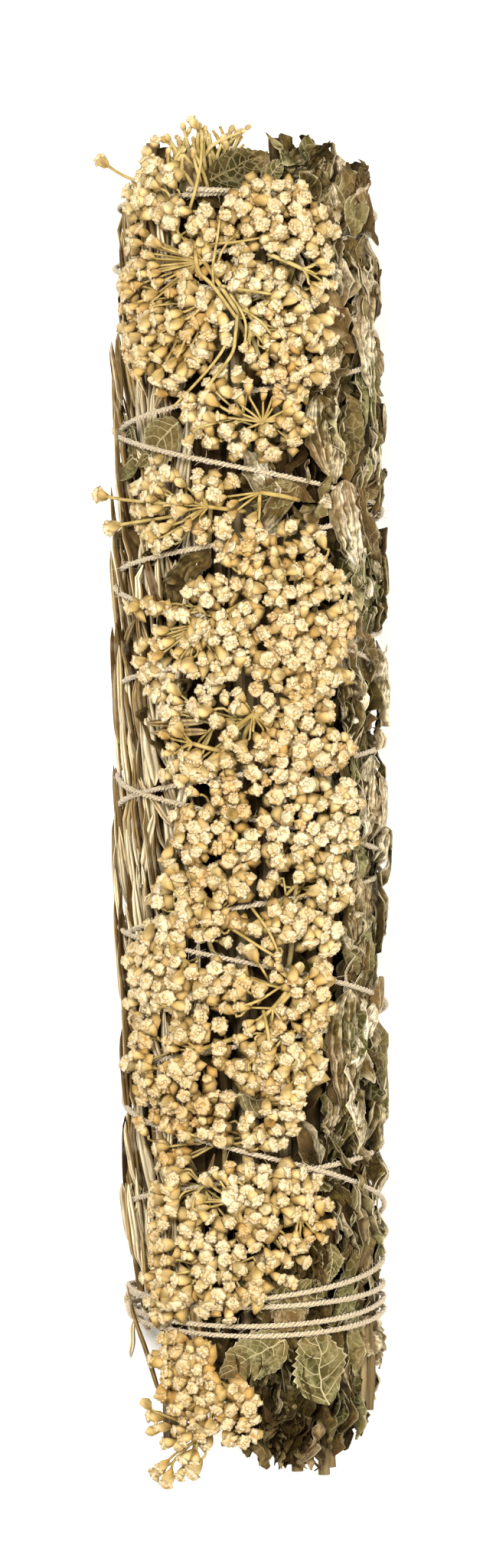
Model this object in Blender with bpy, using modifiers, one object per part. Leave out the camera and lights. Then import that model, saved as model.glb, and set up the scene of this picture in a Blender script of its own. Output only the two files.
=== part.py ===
"""Dried herb bundle lying on its back: yarrow heads over mint and rosemary sprigs, bound with cotton twine.

The bundle lies along Y with its flower side up. Every piece is drawn on the wound surface of the bundle:
u is the distance round the girth from the top line (positive towards +X), s is the distance along the
bundle and r is the distance out from the middle. place() turns these into X, Y, Z in millimetres.
"""
import math
import random

import bmesh
import bpy
from mathutils import Matrix, Vector

MM = 0.001

# Cross-section of the bundle, in mm: a circle pressed flat where it lies
GIRTH_RADIUS = 20.5
CORNER_RADIUS = 10.0
FLAT_HALF = 6.0

# How far the middle line stands off in X, and how far the upper side swells outwards: (along, offset), in mm
AXIS_X = [(-120, 3.5), (120, 1.0)]
SWELL = [
    (-115, -0.9), (-100, -0.3), (-85, -0.3), (-68, -0.5), (-30, 0.1),
    (10, 0.8), (60, 0.1), (100, -0.4), (115, -1.2),
]

# Distances out from the middle, in mm
ROSEMARY_STEM_R = 15.0
ROSEMARY_TOP_R = 18.6
LEAF_OUTER_R = 19.5
LEAF_INNER_R = 17.8
TWINE_R = 21.25
HEAD_UNDERSIDE_R = 22.9
STALK_FOOT_R = 18.0

LEAF_THICKNESS = 0.62
TWINE_RADIUS = 0.66
TWINE_SIDES = 4
TWINE_FLAT = 0.2
BUNDLE_HALF = 107.0
STRAIGHT_HALF = 40.0
WELD_DISTANCE = 0.004
SHARP_ANGLE = math.radians(75)
FAR = 99.0

# Where the twine crosses the top line on each turn, in mm along the bundle: up, then back down
WIND_UP = [-83.4, -81.8, -79, -78, -61, -39, -16.5, 5, 24, 43, 67, 90.5, 99.6]
WIND_DOWN = [99.6, 83, 54.5, 29, -2.5, -26, -57, -91]
KNOT_U = -40.0
BINDING_DIP = 3.2
BINDING_TOP = -70.0
BINDING_EASE = 10.0
SECOND_LAYER_LIFT = 0.6
LAYER_OVERLAP = 0.07
STRAND_END_GAP = 0.01
PASSING_SLACK = 1e-6
CIRCLE_STEPS = 11
KNOT_STEPS = 5
KNOT_REACH = 2.6
KNOT_TURNS = [(0.9, 1.3), (-0.8, 0.7)]
KNOT_TAILS = [(2.3, 9.0), (-2.5, 8.0)]
TAIL_RISE = [(0.0, 0.2), (0.4, 1.5), (0.75, 1.7), (1.0, 1.5)]
TAIL_RADIUS = 0.627

# The surface that the bundle lies on, in metres
SLAB_SIZE = (0.1, 0.3, 0.01)

# Yarrow heads: each is one or more lobes of (across from the middle line, along, half width, half length)
HEAD_REACH_R = 24.8
YARROW_HEADS = [
    [(-15.4, 99.2, 5.4, 5.6), (-9.6, 94.4, 5.8, 5.4)],
    [(6.0, 95.6, 9.5, 6.6)],
    [(-15.2, 84.2, 6.4, 5.6), (-13.4, 75.2, 8.2, 6.6)],
    [(3.0, 85.2, 9.5, 5.0)],
    [(8.2, 74.0, 8.0, 6.0)],
    [(-0.3, 62.4, 9.4, 7.4)],
    [(-10.2, 48.8, 8.4, 6.4)],
    [(6.0, 39.2, 8.6, 6.4)],
    [(-16.2, 31.0, 5.2, 6.0), (-6.0, 28.8, 7.4, 7.6)],
    [(9.8, 25.8, 9.0, 7.8)],
    [(8.2, 11.0, 7.2, 7.2)],
    [(-8.4, 10.0, 8.0, 5.4)],
    [(-5.4, -3.6, 7.2, 7.0)],
    [(11.0, -4.2, 8.4, 8.0)],
    [(8.4, -18.2, 8.2, 5.8)],
    [(-7.8, -15.8, 9.0, 5.6)],
    [(-13.6, -27.0, 8.4, 6.0)],
    [(4.2, -30.2, 9.2, 7.2)],
    [(-13.6, -41.2, 8.2, 6.6)],
    [(5.2, -43.6, 7.6, 6.0)],
    [(-7.2, -53.4, 10.0, 5.2)],
    [(-8.6, -65.0, 7.4, 7.0), (1.6, -65.4, 7.4, 7.0)],
    [(-9.6, -77.0, 10.0, 5.6)],
    [(-9.6, -92.6, 8.4, 6.6)],
]
FLORET_SPACING = 4.9
FLORET_TOP_RADIUS = 2.24
FLORET_BASE_RADIUS = 1.05
FLORET_LENGTH = 3.0
FLORET_SIDES = 5
FLORET_CROWN = 0.5
FLORET_SHIFT = 0.25
FLORET_TOP_SHARES = (0.9, 1.0)
FLORET_UNEVEN = (-0.15, 0.3)
FLORET_FOOT_GAP = 0.2
STRAY_FOOT_RUN = 0.5
LATTICE_REACH = 9
PEDICEL_RADIUS = 0.5
HEAD_LEAN = math.radians(30)
HEAD_DOME = 1.4
CORE_SIDES = 8
CORE_DROP = 1.35
CORE_SHARE = 0.94
CORE_FOOT_SHARE = 0.72
CORE_BORDER_GAP = 0.42
CORE_STEP = 0.04
CORE_LEAST_REACH = 0.1
BORDER_GAP = 0.22

# Florets that have slipped out of their heads, by head number: the (u, s, r) points of each stalk and floret
STRAY_FLORETS = {
    1: [
        [(-14.0, 100.5, 23.4), (-19.0, 102.5, 24.8), (-22.5, 104.5, 25.6), (-24.4, 105.6, 26.0)],
        [(-8.2, 96.5, 23.6), (-6.6, 103.0, 23.6), (-6.6, 109.0, 22.6), (-8.2, 111.4, 22.8)],
    ],
    7: [
        [(-11.0, 48.8, 23.6), (-18.5, 49.6, 24.8), (-21.5, 50.2, 26.0), (-23.4, 50.6, 26.6)],
        [(-11.0, 46.8, 23.6), (-17.0, 46.0, 24.6), (-19.4, 45.6, 25.6), (-21.2, 45.2, 26.2)],
    ],
}

# The open spray at the lower end: its stalk, then rings of florets (reach, rise, first and last angle, count)
LOOSE_STALK = [(-9.4, -94.6, 18.9), (-9.4, -98.4, 19.2), (-9.8, -101.6, 20.6)]
LOOSE_RINGS = [(6.4, 2.2, 196, 252, 3), (10.6, 1.6, 186, 256, 5)]
LOOSE_STALK_RADIUS = 0.8
LOOSE_PEDICEL_SHARE = 0.9
LOOSE_PEDICEL_INTO = 0.2
LOOSE_PEDICEL_TAPER = 0.8
LOOSE_FLORET_RISE = 2.2
LOOSE_FORK_SUNK = 0.3
LOOSE_TURNS = (-3, 3)
LOOSE_REACHES = (0.92, 1.0)

# The stalk that carries each head down between the twine's turns
STALK_RADIUS = 1.0
STALK_WINDOW = 8.2
STALK_CLEAR = 2.3
STALK_SHARE = 0.55
STALK_TRIES = 12
STALK_SUNK = 0.6

# Cut stems in the middle: rows of (distance out, radius, first angle, last angle, count)
STEM_SIDES = 6
STEM_RISE = 0.9
STEM_UNEVEN_LOW = 6.0
STEM_UNEVEN_HIGH = 5.0
STEM_BUNCHES = {
    "yarrow_stems": [(14.0, 2.6, 109, 55, 5), (10.0, 2.8, 137, 43, 5), (5.4, 2.75, 115, 65, 2)],
    "mint_stems": [(10.0, 2.8, 9, -66, 4), (5.4, 2.75, 0, -50, 2)],
    "rosemary_stems": [(10.0, 2.8, -100, -189, 5), (5.4, 2.75, -122, -172, 2)],
}

# Sprigs round the girth: (u of the stem, r of the leaves, first leaf, leaf spacing, leaves)
MINT_SPRIGS = [
    (19.4, LEAF_OUTER_R, -99.0, 41.0, 5),
    (28.4, LEAF_INNER_R, -90.0, 40.0, 5),
    (37.4, LEAF_OUTER_R, -98.0, 41.0, 5),
    (46.2, LEAF_INNER_R, -88.0, 46.0, 4),
    (55.2, LEAF_OUTER_R, -96.0, 48.0, 4),
    (64.2, LEAF_INNER_R, -84.0, 48.0, 4),
    (-54.8, LEAF_OUTER_R, -94.0, 48.0, 4),
]
MINT_LEAF_LENGTH = 38.0
MINT_LEAF_WIDTH = 16.4
MINT_STEM_R = 15.0
MINT_STEM_RADIUS = 1.0
MINT_STEM_BEFORE = 7.0
MINT_STEM_AFTER = 24.0
MINT_LEAF_LEAN = (4, 8)
MINT_LEAF_LENGTHS = (0.94, 1.0)
MINT_LEAF_WIDTHS = (0.88, 1.0)
MINT_LEAF_GAP = 1.0
LEAF_STALK_RUN = 3.4
LEAF_STALK_HALF = 0.45
LEAF_ROWS = 7
LEAF_BASE_SHARE = 0.1
LEAF_WIDEST_POWER = 0.72
LEAF_TIP_POWER = 0.8
LEAF_TIP_CUT = 1.04
LEAF_WAVE = 0.13
LEAF_WAVES_ALONG = 5.0
LEAF_WAVES_ACROSS = 2.0
LEAF_FOLD = 0.12
TOOTH_SHARE = 0.74
ROSEMARY_SPRIGS = [-15.4, -24.8, -34.2, -43.2]
ROSEMARY_STEM_RADIUS = 0.95
ROSEMARY_STEM_ENDS = (-105.0, 104.0)
FIRST_NEEDLE = -99.0
LAST_NEEDLE = 83.0
NEEDLE_LENGTH = 22.0
NEEDLE_RADIUS = 0.8
NEEDLE_TIP_RADIUS = 0.35
NEEDLE_SPACING = 17.0
NEEDLE_SHIFT = 1.2
NEEDLE_SIDE = 0.85
NEEDLE_ROOM = 3.4
NEEDLE_SINK = 0.7
NEEDLE_LENGTHS = (0.85, 1.05)
NEEDLE_SPREADS = (0.2, 1.0)

# Single mint leaves among the flowers: name, then (u, s, r, length, width, heading in degrees, foot)
FRONT_LEAVES = {
    "mint_leaf_top": (-4.5, 97.5, 19.4, 15.0, 11.0, -24, (-3.4, 94.6, 18.9)),
    "mint_leaf_left": (-22.5, 55.5, 19.4, 15.0, 12.0, -62, (-19.9, 54.2, 16.4)),
    "mint_leaf_middle": (-11.8, 45.2, 19.4, 24.0, 11.0, -104, (-8.6, 45.6, 18.7)),
    "mint_leaf_low": (-3.0, -47.6, 19.4, 10.0, 6.5, 98, (-5.6, -47.2, 18.8)),
    "mint_leaf_bottom_left": (2.4, -73.5, 19.45, 19.0, 10.5, 166, (1.6, -70.3, 18.9)),
    "mint_leaf_bottom_right": (7.6, -93.5, 18.9, 14.0, 12.0, 176, (7.4, -90.6, 18.5)),
    "mint_leaf_end": (-2.6, -98.5, 19.4, 12.5, 9.0, -166, (-2.0, -95.4, 19.2)),
}

COLOURS = {
    "yarrow_flower": (0.80, 0.68, 0.42, 0.8),
    "mint_leaf": (0.27, 0.25, 0.14, 0.85),
    "rosemary": (0.40, 0.33, 0.19, 0.85),
    "woody_stem": (0.30, 0.18, 0.10, 0.8),
    "cotton_twine": (0.66, 0.54, 0.37, 0.9),
}


def between(table, at):
    """Reads a table of (place, value), in straight lines between its rows."""
    for (p0, v0), (p1, v1) in zip(table, table[1:]):
        if at <= p1:
            return v0 + (v1 - v0) * max(0.0, at - p0) / (p1 - p0)
    return table[-1][1]


CORNER_AT = math.pi - math.asin(FLAT_HALF / (GIRTH_RADIUS - CORNER_RADIUS))
CIRCLE_RUN = GIRTH_RADIUS * CORNER_AT
CORNER_RUN = CORNER_RADIUS * (math.pi - CORNER_AT)
HALF_GIRTH = CIRCLE_RUN + CORNER_RUN + FLAT_HALF
UNDERSIDE_DEPTH = CORNER_RADIUS - (GIRTH_RADIUS - CORNER_RADIUS) * math.cos(CORNER_AT)
CENTRE_HEIGHT = UNDERSIDE_DEPTH + TWINE_R - GIRTH_RADIUS + TWINE_RADIUS - TWINE_FLAT


def section(u, r):
    """(x, z, angle from straight up) of a point of the cross-section, before swell and wander."""
    u = (u + HALF_GIRTH) % (2 * HALF_GIRTH) - HALF_GIRTH
    side, run, depth = math.copysign(1.0, u), abs(u), r - GIRTH_RADIUS
    if run <= CIRCLE_RUN:
        angle = run / GIRTH_RADIUS
        return side * r * math.sin(angle), r * math.cos(angle), angle
    inset = GIRTH_RADIUS - CORNER_RADIUS
    middle_x, middle_z = inset * math.sin(CORNER_AT), inset * math.cos(CORNER_AT)
    reach = CORNER_RADIUS + depth
    if run <= CIRCLE_RUN + CORNER_RUN:
        angle = CORNER_AT + (run - CIRCLE_RUN) / CORNER_RADIUS
        return side * (middle_x + reach * math.sin(angle)), middle_z + reach * math.cos(angle), angle
    return side * (middle_x - (run - CIRCLE_RUN - CORNER_RUN)), middle_z - reach, math.pi


def place(u, s, r):
    """The point at u round the girth, s along the bundle and r out from its middle, in mm."""
    _, _, angle = section(u, r)
    swell = between(SWELL, s) * (1 + math.cos(angle)) / 2
    x, z, _ = section(u, r + swell)
    return Vector((x + between(AXIS_X, s), s, z + CENTRE_HEIGHT))


def u_of_across(across, r):
    return GIRTH_RADIUS * math.asin(across / r)


def clear_scene():
    for found in list(bpy.data.objects):
        bpy.data.objects.remove(found, do_unlink=True)


def collection(name):
    made = bpy.data.collections.new(name)
    bpy.context.scene.collection.children.link(made)
    return made


def materials():
    made = {}
    for name, (red, green, blue, roughness) in COLOURS.items():
        material = bpy.data.materials.new(name)
        material.use_nodes = True
        shader = material.node_tree.nodes["Principled BSDF"]
        shader.inputs["Base Color"].default_value = (red, green, blue, 1)
        shader.inputs["Roughness"].default_value = roughness
        shader.inputs["Metallic"].default_value = 0
        made[name] = material
    return made


def mesh_object(name, bm, target):
    """Stores a bmesh drawn in mm as an object in metres."""
    bmesh.ops.scale(bm, verts=bm.verts, vec=(MM, MM, MM))
    mesh = bpy.data.meshes.new(name)
    bm.to_mesh(mesh)
    bm.free()
    made = bpy.data.objects.new(name, mesh)
    target.objects.link(made)
    return made


def baked(obj, weld=False):
    """Gives back obj as a plain mesh object, with its modifiers or its bevel applied."""
    bpy.context.view_layer.update()
    graph = bpy.context.evaluated_depsgraph_get()
    mesh = bpy.data.meshes.new_from_object(obj.evaluated_get(graph), depsgraph=graph)
    if weld:
        bm = bmesh.new()
        bm.from_mesh(mesh)
        bmesh.ops.remove_doubles(bm, verts=bm.verts, dist=WELD_DISTANCE * MM)
        bmesh.ops.recalc_face_normals(bm, faces=bm.faces)
        bm.to_mesh(mesh)
        bm.free()
    name, home, world = obj.name, obj.users_collection[0], obj.matrix_world.copy()
    bpy.data.objects.remove(obj)
    made = bpy.data.objects.new(name, mesh)
    made.matrix_world = world
    home.objects.link(made)
    return made


def tube(name, points, radius, sides, target):
    """A bar of 4 or more sides along points given in mm."""
    curve = bpy.data.curves.new(name, "CURVE")
    curve.dimensions = "3D"
    curve.bevel_depth = MM
    curve.bevel_resolution = (sides - 4) // 2
    curve.use_fill_caps = True
    spline = curve.splines.new("POLY")
    spline.points.add(len(points) - 1)
    for i, point in enumerate(points):
        spline.points[i].co = (*(Vector(point) * MM), 1)
        spline.points[i].radius = radius
    made = bpy.data.objects.new(name, curve)
    target.objects.link(made)
    return baked(made, weld=True)


def spike(name, start, end, start_radius, end_radius, sides, target):
    """A straight tapering bar between two points given in mm."""
    start, end = Vector(start), Vector(end)
    bm = bmesh.new()
    length = (end - start).length
    bmesh.ops.create_cone(
        bm, cap_ends=True, segments=sides, radius1=start_radius, radius2=end_radius, depth=length
    )
    turn = (end - start).to_track_quat("Z", "Y").to_matrix().to_4x4()
    bmesh.ops.transform(bm, matrix=Matrix.Translation((start + end) / 2) @ turn, verts=bm.verts)
    return mesh_object(name, bm, target)


def finished(piece, material):
    """Gives a piece its material, and smooths it where its faces turn gently."""
    piece.data.materials.clear()
    piece.data.materials.append(material)
    piece.data.shade_smooth()
    piece.data.set_sharp_from_angle(angle=SHARP_ANGLE)
    return piece


def joined(name, base, others, target, material):
    """One body: base with every object of the collection others fused to it."""
    if others.objects:
        union = base.modifiers.new("join", "BOOLEAN")
        union.operation = "UNION"
        union.operand_type = "COLLECTION"
        union.collection = others
        union.solver = "MANIFOLD"
        base = baked(base)
    for piece in list(others.objects):
        bpy.data.objects.remove(piece)
    bpy.data.collections.remove(others)
    base.name = base.data.name = name
    for home in list(base.users_collection):
        home.objects.unlink(base)
    target.objects.link(base)
    return finished(base, material)


# Stems in the middle of the bundle

def stem_bunch(name, rows, rng, target, material):
    """Cut stems side by side; rows holds (distance out, radius, first angle, last angle, count)."""
    others = collection(name + "_others")
    base = None
    for distance, radius, first, last, count in rows:
        for k in range(count):
            angle = math.radians(first + (last - first) * k / max(1, count - 1))
            x, z = distance * math.cos(angle), distance * math.sin(angle) + CENTRE_HEIGHT + STEM_RISE
            low = -BUNDLE_HALF + rng.uniform(0, STEM_UNEVEN_LOW)
            high = BUNDLE_HALF - rng.uniform(0, STEM_UNEVEN_HIGH)
            ends = [(x + between(AXIS_X, y), y, z) for y in (low, high)]
            stem = spike("stem", *ends, radius, radius, STEM_SIDES, others if base else target)
            base = base or stem
    return joined(name, base, others, target, material)


# Leaves

def leaf_half_width(share):
    """Half width of a mint leaf, as a share of its widest, from its base (0) to its tip (1)."""
    bulge = math.sin(math.pi * min(1.0, share * LEAF_TIP_CUT) ** LEAF_WIDEST_POWER) ** LEAF_TIP_POWER
    return LEAF_BASE_SHARE + (1 - LEAF_BASE_SHARE) * bulge


def leaf_blade(name, u, s, r, length, width, heading, foot, rng, target):
    """A toothed, folded and waved leaf laid round the bundle from (u, s), its stalk running in to foot."""
    bm = bmesh.new()
    bmesh.ops.create_grid(bm, x_segments=2, y_segments=LEAF_ROWS, size=0.5)
    bmesh.ops.triangulate(bm, faces=bm.faces)
    turn = math.radians(heading)
    phase = rng.uniform(0, math.tau)
    for vert in bm.verts:
        row = round((vert.co.y + 0.5) * LEAF_ROWS)
        across = vert.co.x * 2
        if row == 0:
            at_u, at_s, at_r = foot
            half, forward = LEAF_STALK_HALF, 0.0
        else:
            share = (row - 1) / (LEAF_ROWS - 1)
            wave = LEAF_WAVE * math.sin(phase + LEAF_WAVES_ALONG * share + LEAF_WAVES_ACROSS * across)
            at_u, at_s, at_r = u, s, r + wave - LEAF_FOLD * (1 - abs(across))
            half, forward = width / 2 * leaf_half_width(share), length * share
            if row % 2:
                half *= TOOTH_SHARE
        side = across * half
        vert.co = place(
            at_u + side * math.cos(turn) + forward * math.sin(turn),
            at_s + forward * math.cos(turn) - side * math.sin(turn),
            at_r,
        )
    blade = mesh_object(name, bm, target)
    shell = blade.modifiers.new("thickness", "SOLIDIFY")
    shell.thickness = LEAF_THICKNESS * MM
    shell.offset = 0
    return baked(blade)


def mint_sprig(name, u, r, first, spacing, count, rng, target, material):
    """A mint stem along the bundle with leaves lying outside it, each on a short leaf stalk."""
    others = collection(name + "_others")
    low = first - MINT_STEM_BEFORE
    high = min(BUNDLE_HALF, first + spacing * (count - 1) + MINT_STEM_AFTER)
    points = [place(u, s, MINT_STEM_R) for s in (low, -STRAIGHT_HALF, STRAIGHT_HALF, high)]
    base = tube(name, points, MINT_STEM_RADIUS, 4, target)
    for k in range(count):
        along = first + spacing * k
        heading = (-1) ** k * rng.uniform(*MINT_LEAF_LEAN)
        length = min(MINT_LEAF_LENGTH, spacing - MINT_LEAF_GAP) * rng.uniform(*MINT_LEAF_LENGTHS)
        width = MINT_LEAF_WIDTH * rng.uniform(*MINT_LEAF_WIDTHS)
        blade_u = u - length / 2 * math.sin(math.radians(heading))
        foot = (u, along - LEAF_STALK_RUN, MINT_STEM_R)
        leaf_blade("blade", blade_u, along, r, length, width, heading, foot, rng, others)
    return joined(name, base, others, target, material)


def front_leaf(name, leaf, rng, target, material):
    """One mint leaf among the flowers, its stalk tucked down between them."""
    return finished(leaf_blade(name, *leaf, rng, target), material)


def rosemary_sprig(name, u, rng, target, material):
    """A rosemary twig along the bundle with needles that rise from it and lie along the outside."""
    others = collection(name + "_others")
    low, high = ROSEMARY_STEM_ENDS
    points = [place(u, s, ROSEMARY_STEM_R) for s in (low, -STRAIGHT_HALF, STRAIGHT_HALF, high)]
    base = tube(name, points, ROSEMARY_STEM_RADIUS, 4, target)
    foot = FIRST_NEEDLE
    while foot < LAST_NEEDLE:
        for side in (-1, 1):
            length = NEEDLE_LENGTH * rng.uniform(*NEEDLE_LENGTHS)
            start = foot + rng.uniform(-NEEDLE_SHIFT, NEEDLE_SHIFT)
            spread = side * (NEEDLE_SIDE + rng.uniform(*NEEDLE_SPREADS) * (NEEDLE_ROOM - NEEDLE_SIDE))
            root = place(u + side * NEEDLE_SIDE, start, ROSEMARY_STEM_R)
            tip = place(u + spread, start + length, ROSEMARY_TOP_R - rng.uniform(0, NEEDLE_SINK))
            spike("needle", root, tip, NEEDLE_RADIUS, NEEDLE_TIP_RADIUS, 3, others)
        foot += NEEDLE_SPACING
    return joined(name, base, others, target, material)


# Yarrow

def lobe_middles():
    """(head index, u, s, half width, half length) of each lobe, on the wound surface."""
    found = []
    for index, lobes in enumerate(YARROW_HEADS):
        for across, along, half_width, half_length in lobes:
            found.append((index, u_of_across(across, HEAD_REACH_R), along, half_width, half_length))
    return found


def border_distance(index, u, s, lobes):
    """How far (u, s) is inside head index's own ground, measured to the nearest other head."""

    def power(lobe):
        return (u - lobe[1]) ** 2 + (s - lobe[2]) ** 2 - (lobe[3] * lobe[4])

    own = min((lobe for lobe in lobes if lobe[0] == index), key=power)
    nearest = FAR
    for lobe in lobes:
        if lobe[0] != index:
            apart = math.hypot(own[1] - lobe[1], own[2] - lobe[2])
            nearest = min(nearest, (power(lobe) - power(own)) / (2 * apart))
    return nearest


def floret_places(index, lobes, rng):
    """Where the tops of a head's florets stand: a six-sided lattice kept to the head's own ground."""
    own = [lobe for lobe in lobes if lobe[0] == index]
    spin = rng.uniform(0, math.pi / 3)
    middle_u, middle_s = own[0][1], own[0][2]
    found = []
    for i in range(-LATTICE_REACH, LATTICE_REACH + 1):
        for j in range(-LATTICE_REACH, LATTICE_REACH + 1):
            across, along = FLORET_SPACING * (i + j / 2), FLORET_SPACING * j * math.sqrt(3) / 2
            u = middle_u + across * math.cos(spin) - along * math.sin(spin)
            s = middle_s + across * math.sin(spin) + along * math.cos(spin)
            u += rng.uniform(-FLORET_SHIFT, FLORET_SHIFT)
            s += rng.uniform(-FLORET_SHIFT, FLORET_SHIFT)
            if border_distance(index, u, s, lobes) < FLORET_TOP_RADIUS + BORDER_GAP:
                continue
            nearest = min(own, key=lambda lobe: math.hypot((u - lobe[1]) / lobe[3], (s - lobe[2]) / lobe[4]))
            du, ds = (u - nearest[1]) / nearest[3], (s - nearest[2]) / nearest[4]
            if math.hypot(du, ds) <= 1.0:
                found.append((u, s, du, ds))
    return found


def dome_r(du, ds):
    """How far out the face of a head stands, from its middle (0, 0) to its rim."""
    return HEAD_REACH_R + HEAD_DOME * (1 - min(1.0, du * du + ds * ds))


def floret(top, foot, rng, target):
    """A five-sided floret that widens outwards from foot to top, with a domed crown."""
    bm = bmesh.new()
    bmesh.ops.create_cone(
        bm,
        cap_ends=True,
        segments=FLORET_SIDES,
        radius1=FLORET_BASE_RADIUS,
        radius2=FLORET_TOP_RADIUS * rng.uniform(*FLORET_TOP_SHARES),
        depth=(top - foot).length,
    )
    upper = max(bm.faces, key=lambda face: face.calc_center_median().z)
    crown = bmesh.ops.poke(bm, faces=[upper])["verts"][0]
    crown.co.z += FLORET_CROWN
    spin = Matrix.Rotation(rng.uniform(0, math.tau), 4, "Z")
    turn = (top - foot).to_track_quat("Z", "Y").to_matrix().to_4x4()
    bmesh.ops.transform(bm, matrix=Matrix.Translation((top + foot) / 2) @ turn @ spin, verts=bm.verts)
    return mesh_object("floret", bm, target)


def head_floret(u, s, du, ds, rng, target):
    """A floret of a head, leaning outwards the nearer it stands to the rim."""
    top_r = dome_r(du, ds) + rng.uniform(*FLORET_UNEVEN)
    lean = math.sin(HEAD_LEAN) * FLORET_LENGTH
    top = place(u, s, top_r)
    foot_r = max(top_r - FLORET_LENGTH * math.cos(HEAD_LEAN), HEAD_UNDERSIDE_R + FLORET_FOOT_GAP)
    foot = place(u - lean * du, s - lean * ds, foot_r)
    return floret(top, foot, rng, target)


def stray_floret(route, rng, target):
    """A floret that has slipped out of its head, on its own thin stalk; route is its (u, s, r) points."""
    points = [place(*point) for point in route]
    tube("pedicel", points[:-1], PEDICEL_RADIUS, 4, target)
    heading = (points[-1] - points[-2]).normalized()
    return floret(points[-1], points[-2] - heading * STRAY_FOOT_RUN, rng, target)


def head_core(name, lobe, index, lobes, target):
    """The shallow dome that a lobe's florets stand on, narrower below, kept to the head's own ground."""
    _, middle_u, middle_s, half_width, half_length = lobe
    bm = bmesh.new()
    bmesh.ops.create_cone(
        bm, cap_ends=True, segments=CORE_SIDES, radius1=CORE_FOOT_SHARE, radius2=CORE_SHARE, depth=2
    )
    caps = [face for face in bm.faces if len(face.verts) == CORE_SIDES]
    bmesh.ops.poke(bm, faces=caps)
    for vert in bm.verts:
        side, along, height = vert.co
        reach = 1.0
        while reach > CORE_LEAST_REACH:
            u, s = middle_u + side * half_width * reach, middle_s + along * half_length * reach
            if border_distance(index, u, s, lobes) > CORE_BORDER_GAP:
                break
            reach -= CORE_STEP
        upper_r = dome_r(side, along) - CORE_DROP
        vert.co = place(u, s, upper_r if height > 0 else HEAD_UNDERSIDE_R)
    return mesh_object(name, bm, target)


def stalk_place(index, lobes, strands):
    """Where a head's stalk goes down between the turns of twine, as near the head's middle as it can."""
    own = [lobe for lobe in lobes if lobe[0] == index]
    best = None
    shares = [STALK_SHARE * k / STALK_TRIES for k in range(-STALK_TRIES, STALK_TRIES + 1)]
    for lobe in own:
        for across in shares:
            for along in shares:
                u, s = lobe[1] + lobe[3] * across, lobe[2] + lobe[4] * along
                if abs(u) > STALK_WINDOW or strand_distance(u, s, strands) < STALK_CLEAR:
                    continue
                cost = math.hypot(u - lobe[1], s - lobe[2])
                if best is None or cost < best[0]:
                    best = (cost, u, s)
    return best[1:]


def yarrow_head(name, index, lobes, strands, rng, target, material):
    """A flat-topped head of florets on a core, with its stalk going down into the bundle."""
    others = collection(name + "_others")
    own = [lobe for lobe in lobes if lobe[0] == index]
    base = head_core(name, own[0], index, lobes, target)
    for lobe in own[1:]:
        head_core("lobe", lobe, index, lobes, others)
    u, s = stalk_place(index, lobes, strands)
    stalk = (place(u, s, STALK_FOOT_R), place(u, s, HEAD_UNDERSIDE_R + STALK_SUNK))
    spike("stalk", *stalk, STALK_RADIUS, STALK_RADIUS, 4, others)
    for spot in floret_places(index, lobes, rng):
        head_floret(*spot, rng, others)
    for route in STRAY_FLORETS.get(index + 1, []):
        stray_floret(route, rng, others)
    return joined(name, base, others, target, material)


def loose_spray(name, rng, target, material):
    """An open yarrow spray that hangs out of the lower end, its florets fanned on thin stalks."""
    others = collection(name + "_others")
    base = tube(name, [place(*point) for point in LOOSE_STALK], LOOSE_STALK_RADIUS, 4, target)
    fork_u, fork_s, fork_r = LOOSE_STALK[-1]
    fork = place(fork_u, fork_s, fork_r - LOOSE_FORK_SUNK)
    for reach, rise, first, last, count in LOOSE_RINGS:
        for k in range(count):
            angle = math.radians(first + (last - first) * k / (count - 1) + rng.uniform(*LOOSE_TURNS))
            end = reach * rng.uniform(*LOOSE_REACHES)
            across, along = end * math.cos(angle), end * math.sin(angle)
            top = place(fork_u + across, fork_s + along, fork_r + rise)
            across, along = across * LOOSE_PEDICEL_SHARE, along * LOOSE_PEDICEL_SHARE
            foot = place(fork_u + across, fork_s + along, fork_r + rise - LOOSE_FLORET_RISE)
            into = foot + (top - foot) * LOOSE_PEDICEL_INTO
            spike("pedicel", fork, into, PEDICEL_RADIUS, PEDICEL_RADIUS * LOOSE_PEDICEL_TAPER, 3, others)
            floret(top, foot, rng, others)
    return joined(name, base, others, target, material)


# Twine

def wind(table, turn):
    """Where the twine is along the bundle after some turns, by a smooth curve through table."""
    index = min(max(math.floor(turn), 0), len(table) - 2)
    t = turn - index
    p0 = table[max(index - 1, 0)]
    p1, p2 = table[index], table[index + 1]
    p3 = table[min(index + 2, len(table) - 1)]
    bend = 2 * p0 - 5 * p1 + 4 * p2 - p3
    s = 0.5 * (2 * p1 + (p2 - p0) * t + bend * t * t + (3 * p1 - p0 - 3 * p2 + p3) * t**3)
    if s < BINDING_TOP:
        s -= BINDING_DIP * max(0.0, math.cos(math.tau * turn)) * min(1.0, (BINDING_TOP - s) / BINDING_EASE)
    return s


def twine_turns(first, last):
    """The turns at which the twine has a point: evenly round the circle, and at both ends of each corner."""
    ring = [CIRCLE_RUN * (2 * k / CIRCLE_STEPS - 1) for k in range(CIRCLE_STEPS + 1)]
    ring += [CIRCLE_RUN + CORNER_RUN, HALF_GIRTH + FLAT_HALF]
    turns = [turn + u / (2 * HALF_GIRTH) for turn in range(-1, math.ceil(last) + 1) for u in ring]
    between_ends = [turn for turn in turns if first + STRAND_END_GAP < turn < last - STRAND_END_GAP]
    return [first] + between_ends + [last]


def twine_strand(table, first, last, lift):
    """(u, s, r) along one layer of the winding, which rides up by lift except where the bundle lies on it."""
    found = []
    for turn in twine_turns(first, last):
        u = 2 * HALF_GIRTH * turn
        _, _, angle = section(u, TWINE_R)
        found.append((u, wind(table, turn), TWINE_R + lift * (1 + math.cos(angle)) / 2))
    return found


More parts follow.
